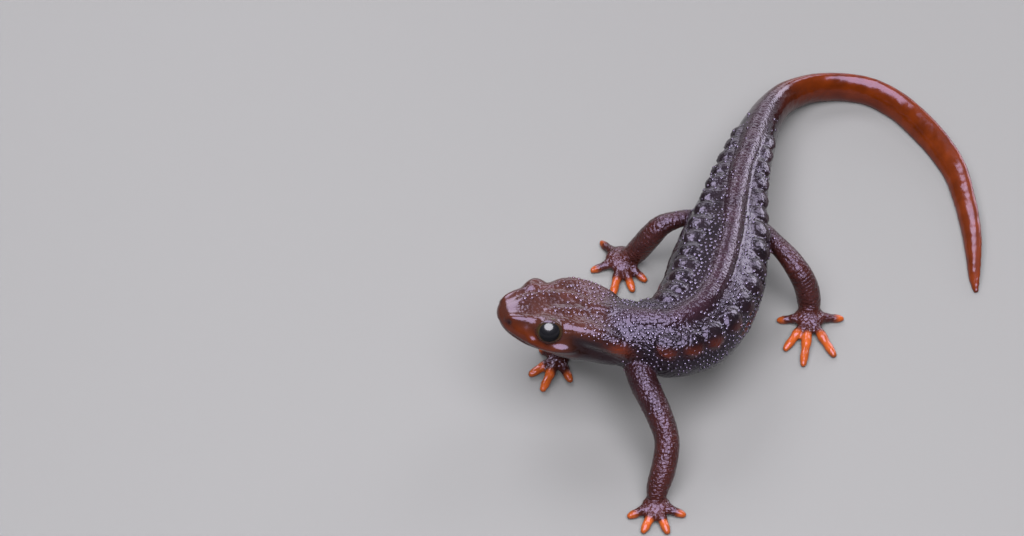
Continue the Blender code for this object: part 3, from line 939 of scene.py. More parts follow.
@dataclass
class SkinPlaces:
    """Where each point of the skin lies on the newt, in the newt's own measures.

    Attributes:
        run: Distance along the body from the snout, in mm.
        across: Place across the body, as a share of the half width, left positive.
        above: Place up the body, as a share of the half height.
        limb: 1 on a leg or foot and 0 on the body.
        reach: Share of the way down the leg, from the body to the palm.
        toe: 1 on the toes, fading over the palm.
        number: Which leg is nearest.
        head: Back, left and up on the head, in mm.
    """

    run: Array
    across: Array
    above: Array
    limb: Array
    reach: Array
    toe: Array
    number: Array
    head: Array


@dataclass(frozen=True)
class Depths:
    """Heights and depths of the skin's relief over its smooth form, in mm."""

    trunk_waves: float = 0.06
    trunk_lumps: float = 0.03
    nodule_row: float = 0.22
    mouth: float = 0.35
    nostril: float = 0.55
    throat_fold: float = 0.4
    neck_lumps: float = 0.05
    gland: float = 0.45
    under_gland: float = 0.22
    cheek: float = 0.42
    eye_hollow: float = 0.5
    crown_ridge: float = 0.36
    temple: float = 0.2
    canthus: float = 0.5
    back_creases: float = 0.016
    back_grooves: float = 0.15
    flank_valleys: float = 0.05
    flank_lumps: float = 0.04
    leg_rings: float = 0.012
    elbow_rings: float = 0.02
    wrist_rings: float = 0.014
    toe_rings: float = 0.012


@dataclass(frozen=True)
class Strengths:
    """Strength of colour, wetness, stripes and grain on parts of the skin, as shares."""

    calf_warm: float = 0.18
    snout_rust: float = 0.85
    lip_rust: float = 0.7
    calf_rust: float = 0.25
    edge_ember: float = 0.8
    nodule_glow: tuple[float, float] = (0.05, 0.55)
    far_glow: float = 0.2
    tail_dry: float = 0.1
    cheek_dry: float = 0.2
    leg_stripes: float = 1.7
    ridge_stripes: float = 0.9
    ridge_bare: float = 0.96
    nodule_bare: float = 0.75
    leg_granules: float = 0.1
    fine: float = 0.12
    neck_fine: float = 0.7
    head_fine: float = 0.1
    crown_fine: float = 2.5
    tail_fine: float = 0.08
    leg_fine: float = 0.65
    toe_fine: float = 0.5
    nodule_fine: float = 0.2
    ridge_fine: float = 0.3


@dataclass(frozen=True)
class Lids:
    """Opening and rims of the lids, in degrees round the eye and in mm."""

    opening: float = 60.0
    longer: float = 4.0
    droop: tuple[float, float] = (4.0, 64.0)
    thick: tuple[float, float] = (0.36, 0.42)
    width: tuple[float, float] = (16.0, 60.0)
    surround: tuple[float, float] = (6.0, -6.0)
    sunk: float = 0.35


@dataclass
class Skin:
    """The one skin of the newt: union of its forms, smoothed and then sculpted."""

    plan: BodyPlan
    forms: HeadForms
    nodules: NoduleRows
    limbs: tuple[Limb, ...]
    depths: Depths = field(default_factory=Depths)
    lids: Lids = field(default_factory=Lids)
    strengths: Strengths = field(default_factory=Strengths)
    voxel: float = SKIN_VOXEL
    mouth_half: float = 0.26
    pull: float = 0.5
    crease_reach: float = 0.3
    nodule_crease: float = 0.4

    def union(self) -> Mesh:
        """Wraps all the forms in one closed surface.

        Returns:
            Mesh of even quads.
        """
        shapes = [loft(self.plan.rings())] + self.forms.build() + self.nodules.build()
        for limb in self.limbs:
            shapes += limb.build()
        joined = bmesh.new()
        for shape in shapes:
            part = mesh_of(shape, "part")
            joined.from_mesh(part)
            bpy.data.meshes.remove(part)
        carrier = linked("newt_skin", mesh_of(joined, "newt_skin"))
        remesh = carrier.modifiers.new("skin", "REMESH")
        remesh.mode = "VOXEL"
        remesh.voxel_size = self.voxel
        remesh.adaptivity = 0.0
        return settled(carrier)

    def build(self) -> Mesh:
        """Makes the skin, sculpts it and writes its markings, with masks of painted shade, as attributes.

        Returns:
            The finished mesh in millimetres on the plan.
        """
        mesh = self.union()
        edges = np.empty(len(mesh.edges) * 2, np.int32)
        mesh.edges.foreach_get("vertices", edges)
        edges = edges.reshape(-1, 2)
        points = rows_of(mesh.vertices, "co").astype(float)
        points = self.relaxed(points, edges, rounds=6, strength=self.pull)
        places = self.measured(points)
        creases = np.exp(-(((places.limb - 0.5) / self.crease_reach) ** 2))
        creases = np.maximum(creases, self.nodule_crease * self.nodule_feet(points))
        points = self.relaxed(points, edges, rounds=10, strength=self.pull * creases[:, None])
        face = self.pull * self.face(places)[:, None]
        points = self.relaxed(points, edges, rounds=18, strength=face, back=0.0)
        self.set_points(mesh, points)
        places = self.measured(points)
        points = points + self.normals_of(mesh) * self.relief(points, places)[:, None]
        points = self.lidded(self.relaxed(points, edges, rounds=1, strength=0.25))
        surround = self.pull * self.lid_surround(points)[:, None]
        points = self.relaxed(points, edges, rounds=12, strength=surround, back=0.0)
        points[:, 2] = np.maximum(points[:, 2], 0.0)
        self.set_points(mesh, points)
        self.mark(mesh, points, places)
        mesh.shade_smooth()
        return mesh

    @staticmethod
    def dress(mesh: Mesh, flesh: Sequence[str]) -> None:
        """Gives the skin its wet finish and sets it in place of the solids of the flesh."""
        placed(mesh, "skin", flesh, SkinFinish("wet_skin").build())

    @staticmethod
    def face(places: SkinPlaces) -> Array:
        """1 on the crown, temples and cheeks, where the forms run together softly.

        Args:
            places: Measures of the points.

        Returns:
            One value for each point.
        """
        back, _, up = places.head.T
        crown = smoothstep(0.4, 1.4, up)
        cheek = smoothstep(-1.2, -0.2, up) * smoothstep(9.5, 11.5, back)
        return np.maximum(crown, cheek) * smoothstep(24.0, 18.0, places.run) * (1.0 - places.limb)

    def lid_surround(self, points: Array) -> Array:
        """1 on the skin round each eye, fading towards the edge of its lids.

        Args:
            points: Places of the points.

        Returns:
            One value for each point.
        """
        mask = np.zeros(len(points))
        for side, start in zip(Side, self.lids.surround):
            turned, past = self.from_eye(points, side)
            mask = np.maximum(mask, window(past, start, start + 8.0, 55.0, 75.0) * turned)
        return mask

    def around_eye(self, points: Array, side: Side) -> tuple[Array, Array, Array, Array]:
        """Measures points from the middle of one eye.

        Args:
            points: Places of the points.
            side: Which eye.

        Returns:
            Distance, way from the eye, degrees from its gaze, and degrees past the edge of its lids.
        """
        gaze = np.array(self.forms.gaze(side))
        offset = points - np.array(self.forms.eye_middle(side))
        away = np.linalg.norm(offset, axis=1)
        way = offset / np.maximum(away, 1e-6)[:, None]
        turn = np.degrees(np.arccos(np.clip(way @ gaze, -1, 1)))
        return away, way, turn, turn - self.opening(unit(way - (way @ gaze)[:, None] * gaze), side)

    def from_eye(self, points: Array, side: Side) -> tuple[Array, Array]:
        """1 near an eye and 0 elsewhere, and degrees past the edge of its lids."""
        away, _, _, past = self.around_eye(points, side)
        return smoothstep(2.0, 1.5, away / self.forms.eye_radius), past

    def opening(self, round_way: Array, side: Side) -> Array:
        """Angle from the gaze to the lids' edge.

        Args:
            round_way: Ways round the eye, square to its gaze.
            side: Which eye.

        Returns:
            Degrees for each way.
        """
        back_way, _, up_way = np.array(self.plan.head.matrix())
        droop = dict(zip(Side, self.lids.droop))[side]
        longer = self.lids.longer * (2 * (round_way @ back_way) ** 2 - 1)
        return self.lids.opening + longer - droop * smoothstep(-0.2, 1.0, round_way @ up_way)

    def lidded(self, points: Array) -> Array:
        """Opens the skin over each eyeball and raises a rim of lid round it.

        Args:
            points: Places of the points.

        Returns:
            The moved points.
        """
        points = points.copy()
        radius = self.forms.eye_radius
        sunk = radius - self.lids.sunk
        for side, thick, width in zip(Side, self.lids.thick, self.lids.width):
            middle = np.array(self.forms.eye_middle(side))
            near = np.nonzero(np.linalg.norm(points - middle, axis=1) < radius * 2.2)[0]
            away, way, turn, past = self.around_eye(points[near], side)
            rim = radius + thick * np.exp(-((np.maximum(past - 4.0, 0) / width) ** 2))
            raised = away + np.maximum(rim - away, 0.0) * smoothstep(95.0, 55.0, past)
            target = sunk + (raised - sunk) * smoothstep(-7.0, 2.0, past)
            points[near] = middle + way * np.where(turn < 110, target, away)[:, None]
        return points

    def lid_mask(self, points: Array) -> Array:
        """1 on the rim of each lid, fading over the skin round it.

        Args:
            points: Places of the points.

        Returns:
            One value for each point.
        """
        mask = np.zeros(len(points))
        for side in Side:
            close, past = self.from_eye(points, side)
            mask = np.maximum(mask, bump(past, 0.0, 4.5) * (close > 0.5))
        return mask

    def nodule_feet(self, points: Array) -> Array:
        """1 where the nodules rise from the skin, fading to both sides.

        Args:
            points: Places of the points.

        Returns:
            One value for each point.
        """
        feet = np.zeros(len(points))
        for middle in self.nodules.middles():
            away = np.linalg.norm(points - middle, axis=1) / self.nodules.size[0]
            feet = np.maximum(feet, bump(away, 1.1, 0.3))
        return feet

    @staticmethod
    def set_points(mesh: Mesh, points: Array) -> None:
        """Moves a mesh's points."""
        mesh.vertices.foreach_set("co", points.astype(np.float32).ravel())
        mesh.update()

    @staticmethod
    def normals_of(mesh: Mesh) -> Array:
        """Way out at each point of a mesh."""
        return rows_of(mesh.vertex_normals, "vector").astype(float)

    @staticmethod
    def relaxed(
        points: Array, edges: Array, rounds: int, strength: Array | float, back: float = 1.06
    ) -> Array:
        """Points drawn towards their neighbours, then let back.

        Args:
            points: Places of the points.
            edges: Pairs of neighbours.
            rounds: Number of times that the points move in and back.
            strength: Share of the way to the neighbours' middle, for all or for each point.
            back: Share of each move that is taken back, so that the volume stays.

        Returns:
            The moved points.
        """
        count = len(points)
        if not np.isscalar(strength):
            moving = strength[:, 0] > 0.001
            edges = edges[moving[edges].any(axis=1)]
        own, other = np.concatenate([edges, edges[:, ::-1]]).T
        degree = np.maximum(np.bincount(own, minlength=count), 1)[:, None]
        for _ in range(rounds):
            for share in (1.0, -back) if back else (1.0,):
                sums = [np.bincount(own, weights=points[other, axis], minlength=count) for axis in range(3)]
                points = points + share * strength * (np.stack(sums, axis=1) / degree - points)
        return points

    def measured(self, points: Array) -> SkinPlaces:
        """Measures each point against the body's and the limbs' middle lines.

        Args:
            points: Places of the points.

        Returns:
            The measures of the points.
        """
        places = np.arange(0.0, self.plan.table()[0][-1], 0.25)
        centre, along, left, up, size = self.plan.frames(places)
        tree = KDTree(len(centre))
        for index, middle in enumerate(centre):
            tree.insert(middle, index)
        tree.balance()
        nearest = np.array([tree.find(point)[1] for point in points])
        offset = points - centre[nearest]
        run = places[nearest] + (offset * along[nearest]).sum(axis=1)
        across = (offset * left[nearest]).sum(axis=1) / size[nearest, 0]
        above = (offset * up[nearest]).sum(axis=1) / size[nearest, 1]
        body_ratio = np.hypot(across, above)
        limb_ratio, toe_ratio = np.full(len(points), FAR), np.full(len(points), FAR)
        reach = np.zeros(len(points))
        number = np.zeros(len(points), int)
        for index, limb in enumerate(self.limbs):
            rows = self.dense(np.array(limb.path))
            ratio, spot = self.closest(points, rows)
            palm = np.linalg.norm((points - limb.palm[:3]) / limb.palm[3:], axis=1)
            ratio, share = np.minimum(ratio, palm), np.where(palm < ratio, 1.0, spot / len(rows))
            nearer = ratio < limb_ratio
            limb_ratio, reach = np.where(nearer, ratio, limb_ratio), np.where(nearer, share, reach)
            number = np.where(nearer, index, number)
            for tip in limb.tips:
                ratio, spot = self.closest(points, self.dense(limb.toe(tip)))
                toe_ratio = np.minimum(toe_ratio, np.where(spot > 3, ratio, FAR))
        closest_limb = np.minimum(limb_ratio, toe_ratio)
        on_limb = smoothstep(-0.12, 0.12, body_ratio - closest_limb) * (closest_limb < 2.0)
        toe = smoothstep(0.0, 1.3, limb_ratio - toe_ratio) * on_limb
        return SkinPlaces(run, across, above, on_limb, reach, toe, number, self.plan.head.measure(points))

    @staticmethod
    def dense(rows: Array) -> Array:
        """Reads a path at short steps.

        Args:
            rows: Rows of x, y, z and radius.

        Returns:
            More rows of the same kind.
        """
        run = run_along(rows[:, :3])
        at = np.linspace(0.0, run[-1], max(4, int(run[-1] / 0.5)))
        return curve_through(run, rows, at, monotone=False)

    @staticmethod
    def closest(points: Array, rows: Array) -> tuple[Array, Array]:
        """Measures points against a path.

        Args:
            points: Places of the points.
            rows: Rows of x, y, z and radius of the path.

        Returns:
            Least distance over radius from each point to the path, and where along it.
        """
        best, spot = np.full(len(points), FAR), np.zeros(len(points))
        low, high = rows[:, :3].min(axis=0) - 5, rows[:, :3].max(axis=0) + 5
        near = np.nonzero(((points > low) & (points < high)).all(axis=1))[0]
        for index, row in enumerate(rows):
            ratio = np.linalg.norm(points[near] - row[:3], axis=1) / row[3]
            better = ratio < best[near]
            best[near] = np.where(better, ratio, best[near])
            spot[near] = np.where(better, index, spot[near])
        return best, spot

    @staticmethod
    def ripple(points: Array, size: float, shift: float = 0.0) -> Array:
        """Smooth random values from -1 to 1 whose features have one size in mm."""
        start = Vector((shift, shift * 0.7, -shift))
        return np.array([noise.noise(Vector(point) / size + start) for point in points])

    def relief(self, points: Array, places: SkinPlaces) -> Array:
        """Height of the skin's folds, wrinkles and lumps over its smooth form.

        Args:
            points: Places of the points.
            places: Measures of the points.

        Returns:
            Height in mm for each point.
        """
        depths, body, head, run = self.depths, 1.0 - places.limb, places.head, places.run
        trunk = smoothstep(24.0, 28.0, run) * body
        height = depths.trunk_waves * self.ripple(points, 3.1) * trunk
        height += depths.trunk_lumps * self.ripple(points, 1.3, 4.0) * trunk
        height += self.ridge_creases(points, places) * body
        height += self.flank_folds(points, places) * trunk
        row = window(run, 26.5, 29.5, 80.0, 90.0) * (places.above > 0)
        height += depths.nodule_row * bump(np.abs(places.across), self.nodules.share, 0.2) * row * body
        height += self.limb_creases(points, places)
        height -= depths.mouth * self.mouth_gap(head)
        for away in self.from_nostrils(head):
            height -= depths.nostril * bump(away, 0.0, 0.42)
        back, left, up = head.T
        fold = bump(back, 20.3 + 0.03 * left**2, 0.55) * smoothstep(-0.5, -2.5, up) * (run < 30)
        height -= depths.throat_fold * fold * body
        neck = smoothstep(10.0, 15.0, back) * (run < 28) * body
        height += depths.neck_lumps * self.ripple(points, 1.9, 9.0) * neck
        return height + self.face_forms(head) * (run < 26) * body

    def face_forms(self, head: Array) -> Array:
        """Swelling of the glands and cheeks, and the hollows that set them off.

        Args:
            head: Back, left and up of the points on the head.

        Returns:
            Height in mm for each point.
        """
        back, left, up = head.T
        depths, outer = self.depths, np.abs(left)
        side = smoothstep(2.6, 4.4, outer)
        gland_up = np.interp(back, (10.0, 15.0, 18.0, 21.0), (3.9, 3.8, 3.2, 2.6))
        along = window(back, 9.6, 12.0, 20.4, 22.4)
        gland = depths.gland * bump(up, gland_up, 1.7) * bump(outer, 6.3, 1.9) * along
        under_up = np.interp(back, (9.0, 12.0, 16.0, 20.0), (1.7, 1.2, 0.5, -0.2))
        along = window(back, 11.0, 13.5, 18.5, 21.5)
        under = depths.under_gland * bump(up, under_up, 0.9) * along * side
        shelf = np.interp(back, (2.5, 5.4, 7.2, 9.0, 10.5, 12.5), (1.0, 0.55, 0.1, 0.3, 0.7, 1.0))
        reach = window(back, 3.8, 5.2, 11.5, 13.5) * side
        cheek = depths.cheek * bump(up, shelf - 0.8, 0.65) * reach
        hollow = window(up, shelf - 0.35, shelf + 0.3, shelf + 0.8, shelf + 2.0)
        hollow *= depths.eye_hollow * reach * smoothstep(11.5, 9.5, back)
        temple = depths.temple * bump(outer, 3.5, 0.8) * window(back, 10.5, 12.0, 15.0, 17.0) * (up > 2.0)
        edge = np.interp(back, (1.0, 3.0, 5.0, 7.0), (2.2, 3.0, 3.7, 4.1))
        canthus = depths.canthus * bump(outer, edge, 0.8) * window(back, 0.2, 1.4, 5.5, 7.5) * (up > 0.6)
        ridges = depths.crown_ridge * self.crown_ridges(head)
        return gland - under + cheek - hollow + ridges + temple + canthus

    @staticmethod
    def crown_ridges(head: Array) -> Array:
        """1 on the two low ridges of the crown, of which the near one starts behind the eye.

        Args:
            head: Back, left and up of the points on the head.

        Returns:
            One value for each point.
        """
        back, left, up = head.T
        crest = np.interp(back, (3.0, 5.0, 8.0, 11.0, 14.0), (0.8, 1.4, 2.0, 1.9, 1.6))
        ahead = np.where(left < 0, smoothstep(2.5, 4.0, back), smoothstep(6.5, 8.5, back))
        return bump(np.abs(left), crest, 0.85) * ahead * smoothstep(16.0, 13.0, back) * (up > 2.0)

    def mouth_gap(self, head: Array) -> Array:
        """1 in the line between the lips, fading to both sides and at the corner.

        Args:
            head: Back, left and up of the points on the head.

        Returns:
            One value for each point.
        """
        back, _, up = head.T
        corner = self.forms.mouth_corner
        gap = np.exp(-(((up - self.forms.mouth_height(back)) / self.mouth_half) ** 2))
        return gap * smoothstep(corner + 0.8, corner - 0.8, back) * (back > -2)

    def from_nostrils(self, head: Array) -> list[Array]:
        """Distance in mm of each point from each nostril."""
        spots = [np.array(self.forms.nostril) * [1, side.value, 1] for side in Side]
        return [np.linalg.norm(head - spot, axis=1) for spot in spots]

    def nostrils(self, head: Array) -> Array:
        """1 inside the nostrils."""
        return np.maximum.reduce([bump(away, 0.0, 0.55) for away in self.from_nostrils(head)])

    def ridge_share(self, run: Array) -> Array:
        """Half width of the ridge of the back as a share of the body's half width."""
        stations = self.plan.table()
        return np.clip(1.8 / np.interp(run, stations[0], stations[2][:, 0]), 0.12, 0.6)

    def ridge_creases(self, points: Array, places: SkinPlaces) -> Array:
        """Fine creases across the ridge of the back, and the grooves beside it.

        Args:
            points: Places of the points.
            places: Measures of the points.

        Returns:
            Height in mm for each point.
        """
        depths, run, half, upper = self.depths, places.run, self.ridge_share(places.run), places.above > 0
        on_ridge = np.exp(-((places.across / (half * 0.9)) ** 4)) * upper
        waves = np.sin(2 * math.pi * (run / 0.85 + 0.9 * self.ripple(points, 2.2, 3.0)))
        fade = window(run, 22.0, 34.0, 84.0, 98.0)
        grooves = bump(np.abs(places.across), half * 1.25, half * 0.3) * upper
        sides = window(run, 21.0, 27.0, 70.0, 96.0)
        return depths.back_creases * waves * on_ridge * fade - depths.back_grooves * grooves * sides

    def flank_folds(self, points: Array, places: SkinPlaces) -> Array:
        """Shallow folds down the flanks between the nodules.

        Args:
            points: Places of the points.
            places: Measures of the points.

        Returns:
            Height in mm for each point.
        """
        valley = self.nodules.gaps(places.run, places.across)
        flank = bump(np.abs(places.across), 0.95, 0.3) * (places.above > -0.6)
        valleys = -self.depths.flank_valleys * valley * flank * smoothstep(84.0, 74.0, places.run)
        return valleys + self.depths.flank_lumps * self.ripple(points, 0.9, 6.0) * flank

    def limb_creases(self, points: Array, places: SkinPlaces) -> Array:
        """Fine rings of creases round the legs, deepest at elbows, knees and wrists.

        Args:
            points: Places of the points.
            places: Measures of the points.

        Returns:
            Height in mm for each point.
        """
        depths, reach = self.depths, places.reach
        waves = np.sin(2 * math.pi * (reach * 26.0 + 0.8 * self.ripple(points, 1.7, 7.0)))
        depth = depths.leg_rings + depths.elbow_rings * bump(reach, 0.5, 0.14)
        depth = depth + depths.wrist_rings * bump(reach, 0.85, 0.1)
        shank = smoothstep(0.08, 0.2, reach) * (1.0 - places.toe) * (reach < 0.995)
        toes = np.sin(2 * math.pi * np.linalg.norm(points[:, :2], axis=1) / 0.9) * places.toe
        return (depth * waves * shank + depths.toe_rings * toes) * places.limb

    def nodule_marks(self, points: Array, places: SkinPlaces) -> tuple[Array, Array]:
        """Masks of the nodules and of the rust glow below them.

        Args:
            points: Places of the points.
            places: Measures of the points.

        Returns:
            The two masks, one value for each point.
        """
        nodule, glow, outer = (np.zeros(len(points)) for _ in range(3))
        least, more = self.strengths.nodule_glow
        factors = {Side.LEFT: 1.0, Side.RIGHT: self.strengths.far_glow}
        for (place, side, factor), middle in zip(self.nodules.spots(), self.nodules.middles()):
            away = np.linalg.norm(points - middle, axis=1) / (self.nodules.size[0] * factor)
            dome = smoothstep(1.15, 0.7, away)
            nodule = np.maximum(nodule, dome)
            strength = (least + more * smoothstep(46.0, 34.0, place)) * factors[side]
            glow = np.maximum(glow, smoothstep(1.25, 0.6, away) * strength)
            outer = np.where(dome > 0, np.abs(places.across), outer)
        return nodule, glow * smoothstep(0.72, 0.95, outer)

    def grain_mask(self, places: SkinPlaces, patch: Array, ridge: Array, nodule: Array) -> Array:
        """1 where the fine granules stand close together.

        Args:
            places: Measures of the points.
            patch: Mask of the rust patches behind the jaw.
            ridge: Mask of the ridge of the back.
            nodule: Mask of the nodules.

        Returns:
            One value for each point.
        """
        back, _, up = places.head.T
        run, strengths = places.run, self.strengths
        crown = (0.3 + 0.7 * smoothstep(11.5, 16.0, back)) * smoothstep(9.0, 12.0, back)
        crown *= smoothstep(2.8, 3.8, up)
        crown = np.maximum(crown, smoothstep(0.35, 0.8, self.crown_ridges(places.head)))
        grain = np.maximum(crown, smoothstep(23.0, 26.5, run)) * (1.0 - np.clip(patch, 0, 1))
        lowest = np.where(places.across < 0, 0.3, np.interp(run, (32.0, 52.0), (-0.3, 0.25)))
        upper = smoothstep(0.0, 0.4, places.above - lowest)
        grain *= (1.0 - places.limb) * (1.0 - strengths.ridge_bare * ridge) * upper
        grain *= smoothstep(96.0, 78.0, run) * (1.0 - strengths.nodule_bare * nodule)
        return np.maximum(grain, strengths.leg_granules * places.limb * smoothstep(0.7, 0.1, places.reach))

    def mark(self, mesh: Mesh, points: Array, places: SkinPlaces) -> None:
        """Writes the masks that the finish reads, one value for each point.

        Args:
            mesh: Finished skin.
            points: Places of its points.
            places: Measures of its points.
        """
        body, (back, left, up), run = 1.0 - places.limb, places.head.T, places.run
        on_head = smoothstep(23.0, 15.0, run) * body
        patch = bump(back, 19.2, 2.3) * bump(up, 2.0, 1.15) * (np.abs(left) > 4.2)
        snout = window(back, 0.6, 2.6, 5.0, 11.0) * on_head * smoothstep(2.4, 0.9, up)
        lips = bump(up, self.forms.mouth_height(back) + 0.2, 1.2) * smoothstep(15.0, 11.0, back) * on_head
        nodule, glow = self.nodule_marks(points, places)
        tail = smoothstep(88.0, 112.0, run) * body
        edge = tail * np.maximum(smoothstep(0.45, 0.85, -places.above), 0.8 * smoothstep(118.0, 160.0, run))
        belly = smoothstep(0.1, 0.7, -places.above) * smoothstep(20.0, 26.0, run) * (1.0 - tail) * body
        ridge = np.exp(-((places.across / (self.ridge_share(run) * 1.15)) ** 4)) * (places.above > 0.2)
        ridge *= body * window(run, 19.0, 24.0, 92.0, 104.0)
        toe = smoothstep(0.0, 1.0, places.toe)
        calf = places.limb * smoothstep(0.15, 0.6, places.reach) * (1.0 - toe)
        # Painted shade: the cheeks below the glands and the throat underneath are darkened.
        cheek = smoothstep(8.5, 13.5, back) * smoothstep(3.4, 2.2, up) * smoothstep(26.0, 21.0, run) * body
        cheek = np.maximum(cheek, smoothstep(-1.8, -3.0, up) * on_head)
        nostrils, much = self.nostrils(places.head), self.strengths
        rust = much.snout_rust * snout + much.lip_rust * lips + edge + much.calf_rust * calf * places.reach
        stripes = much.leg_stripes * places.limb * (1.0 - toe) + much.ridge_stripes * ridge
        values = {
            "warm": np.clip(on_head + much.calf_warm * calf, 0, 1),
            "rust": np.clip(rust, 0, 1),
            "orange": smoothstep(0.15, 0.95, toe),
            "ember": np.clip(patch + glow + much.edge_ember * edge * edge, 0, 1),
            "wet": np.clip(1.0 - belly - much.tail_dry * tail - much.cheek_dry * cheek - nostrils, 0, 1),
            "fine": self.roughened(places, ridge, nodule, on_head),
            "stripes": np.clip(stripes, 0, 2),
            "along": np.where(places.limb > 0.5, places.reach * self.leg_lengths()[places.number], run),
            # cheek: mask of the painted shade on the cheeks and throat, which also dries the skin there.
            "cheek": cheek * (1.0 - patch),
            "belly": belly,
            "tail": tail,
            "ridge": ridge,
            "limb": places.limb,
            "under": places.limb * smoothstep(0.2, -0.5, self.normals_of(mesh)[:, 2]),
            "grain": np.clip(self.grain_mask(places, patch, ridge, nodule), 0, 1),
            # mouth: dark seam of the mouth line, and painted shade in the nostrils.
            "mouth": np.maximum(self.mouth_gap(places.head) * on_head, nostrils),
            "lid": self.lid_mask(points),
            "unwrap": self.unwrap(places),
        }
        for name, value in values.items():
            store(mesh, name, value)

    def leg_lengths(self) -> Array:
        """Length of each leg's path, in mm."""
        return np.array([run_along(np.array(limb.path)[:, :3])[-1] for limb in self.limbs])

    def roughened(self, places: SkinPlaces, ridge: Array, nodule: Array, on_head: Array) -> Array:
        """Depth of the finest grain: low on the face and tail, high on the neck and legs.

        Args:
            places: Measures of the points.
            ridge: Mask of the ridge of the back.
            nodule: Mask of the nodules.
            on_head: Mask of the head.

        Returns:
            Share of the full depth for each point.
        """
        crown = smoothstep(1.5, 4.0, places.head[:, 0]) * smoothstep(1.8, 2.6, places.head[:, 2])
        much = self.strengths
        skin = much.fine + much.neck_fine * bump(places.run, 27.0, 6.0)
        skin = skin - much.head_fine * on_head * (1.0 - much.crown_fine * crown)
        skin = skin - much.tail_fine * smoothstep(80.0, 105.0, places.run)
        skin = np.where(places.limb > 0.5, much.leg_fine - much.toe_fine * places.toe, skin)
        raised = np.maximum(much.nodule_fine * nodule, much.ridge_fine * ridge)
        return np.clip(np.maximum(skin, raised), 0.0, 1.0)

    def unwrap(self, places: SkinPlaces) -> Array:
        """Flat place of each point: the body's length and girth below, the legs in strips above.

        Args:
            places: Measures of the points.

        Returns:
            One row of two places and 0 for each point.
        """
        turn = np.arctan2(places.above, places.across) / (2 * math.pi) + 0.5
        body = np.stack([0.02 + 0.96 * places.run / 175.0, 0.02 + 0.7 * turn], axis=1)
        strip = (places.number + np.clip(places.reach, 0, 1)) / len(self.limbs)
        legs = np.stack([0.02 + 0.96 * strip, 0.76 + 0.2 * turn], axis=1)
        flat = np.where(places.limb[:, None] > 0.5, legs, body)
        return np.column_stack([flat, np.zeros(len(flat))])


@dataclass(frozen=True)
class Granules:
    """Fine raised grains of the skin, strewn by a geometry tree over parts of the skin."""

    spacing: float = 0.74
    radius: float = 0.34
    radius_shares: tuple[float, float] = (0.4, 1.2)
    proud: float = 0.52
    density: float = 8.0
    seed: int = 11
    sides: int = 7
    rings: int = 4
    patch_size: float = 0.0015
    stretches: tuple = ((0.0, 0.27), (0.27, 0.4), (0.4, 1.0))

    def tree(self, material: Material) -> Tree:
        """Tree that strews small domes where the skin's grain mask is strong.

        Args:
            material: Finish of the granules.

        Returns:
            The tree.
        """
        inputs = {
            "Geometry": ("Geometry", None),
            "Spacing": ("Float", self.spacing),
            "Density": ("Float", self.density),
            "Radius": ("Float", self.radius),
            "Seed": ("Int", self.seed),
            "First run": ("Float", 0.0),
            "Last run": ("Float", 1.0),
        }
        graph = Graph.group("granules", "GeometryNodeTree", inputs, {"Geometry": "Geometry"})
        given = graph.given
        strew = graph.add(
            "GeometryNodeDistributePointsOnFaces",
            {
                "Mesh": given["Geometry"],
                "Distance Min": given["Spacing"],
                "Density Max": given["Density"],
                "Density Factor": graph.stored("grain", "FLOAT"),
                "Seed": given["Seed"],
            },
            distribute_method="POISSON",
        )
        run = graph.add("ShaderNodeSeparateXYZ", {0: graph.stored("unwrap", "FLOAT_VECTOR")}).outputs["X"]
        limits = (("First run", "GREATER_EQUAL"), ("Last run", "LESS_THAN"))
        inside = [
            graph.add("FunctionNodeCompare", {0: run, 1: given[limit]}, operation=operation).outputs[0]
            for limit, operation in limits
        ]
        chance = graph.add(
            "FunctionNodeRandomValue",
            {2: self.radius_shares[0], 3: self.radius_shares[1], "Seed": given["Seed"]},
            data_type="FLOAT",
        )
        size = graph.maths("MULTIPLY", given["Radius"], chance.outputs[1])
        height = graph.maths("MULTIPLY", size, self.proud)
        ball = {"Segments": self.sides, "Rings": self.rings, "Radius": 1.0}
        place = graph.add(
            "GeometryNodeInstanceOnPoints",
            {
                "Points": strew.outputs["Points"],
                "Selection": graph.add("FunctionNodeBooleanMath", dict(enumerate(inside))).outputs[0],
                "Instance": graph.add("GeometryNodeMeshUVSphere", ball).outputs["Mesh"],
                "Rotation": strew.outputs["Rotation"],
                "Scale": graph.add("ShaderNodeCombineXYZ", {"X": size, "Y": size, "Z": height}).outputs[0],
            },
        )
        return graph.finished(place.outputs["Instances"], material)

    def build(self, skin: Mesh) -> list[Mesh]:
        """Strews granules over the skin, one mesh for each stretch of the body.

        Args:
            skin: Finished skin with its masks, still on the plan.

        Returns:
            The meshes, with their finish and their patches of the unwrap.
        """
        tree = self.tree(SkinFinish.of_granules().build())
        bands = []
        for first, last in self.stretches:
            band = grown(skin.copy(), tree, {"First run": first, "Last run": last})
            self.add_patches(band)
            band.shade_smooth()
            bands.append(band)
        return bands

    @staticmethod
    def dress(bands: Sequence[Mesh]) -> None:
        """Sets the stretches of granules on the skin, each as a piece of its own."""
        for number, band in enumerate(bands, 1):
            placed(band, f"granules_{number}")

    def add_patches(self, mesh: Mesh) -> None:
        """Gives each granule a small patch at its root's place on the skin's unwrap.

        Args:
            mesh: Granules of one stretch.
        """
        roots = rows_of(mesh.attributes["unwrap"].data, "vector")[:, :2]
        patch = [(0.0, 0.0)]
        for ring in range(1, self.rings):
            for side in range(self.sides):
                angle = 2 * math.pi * side / self.sides
                patch.append((math.cos(angle) * ring / self.rings, math.sin(angle) * ring / self.rings))
        patch.append((0.9, 0.4))
        spots = roots + self.patch_size * np.tile(patch, (len(mesh.vertices) // len(patch), 1))
        corners = np.empty(len(mesh.loops), np.int32)
        mesh.loops.foreach_get("vertex_index", corners)
        layer = mesh.uv_layers.new(name="OFBake")
        layer.data.foreach_set("uv", spots[corners].astype(np.float32).ravel())


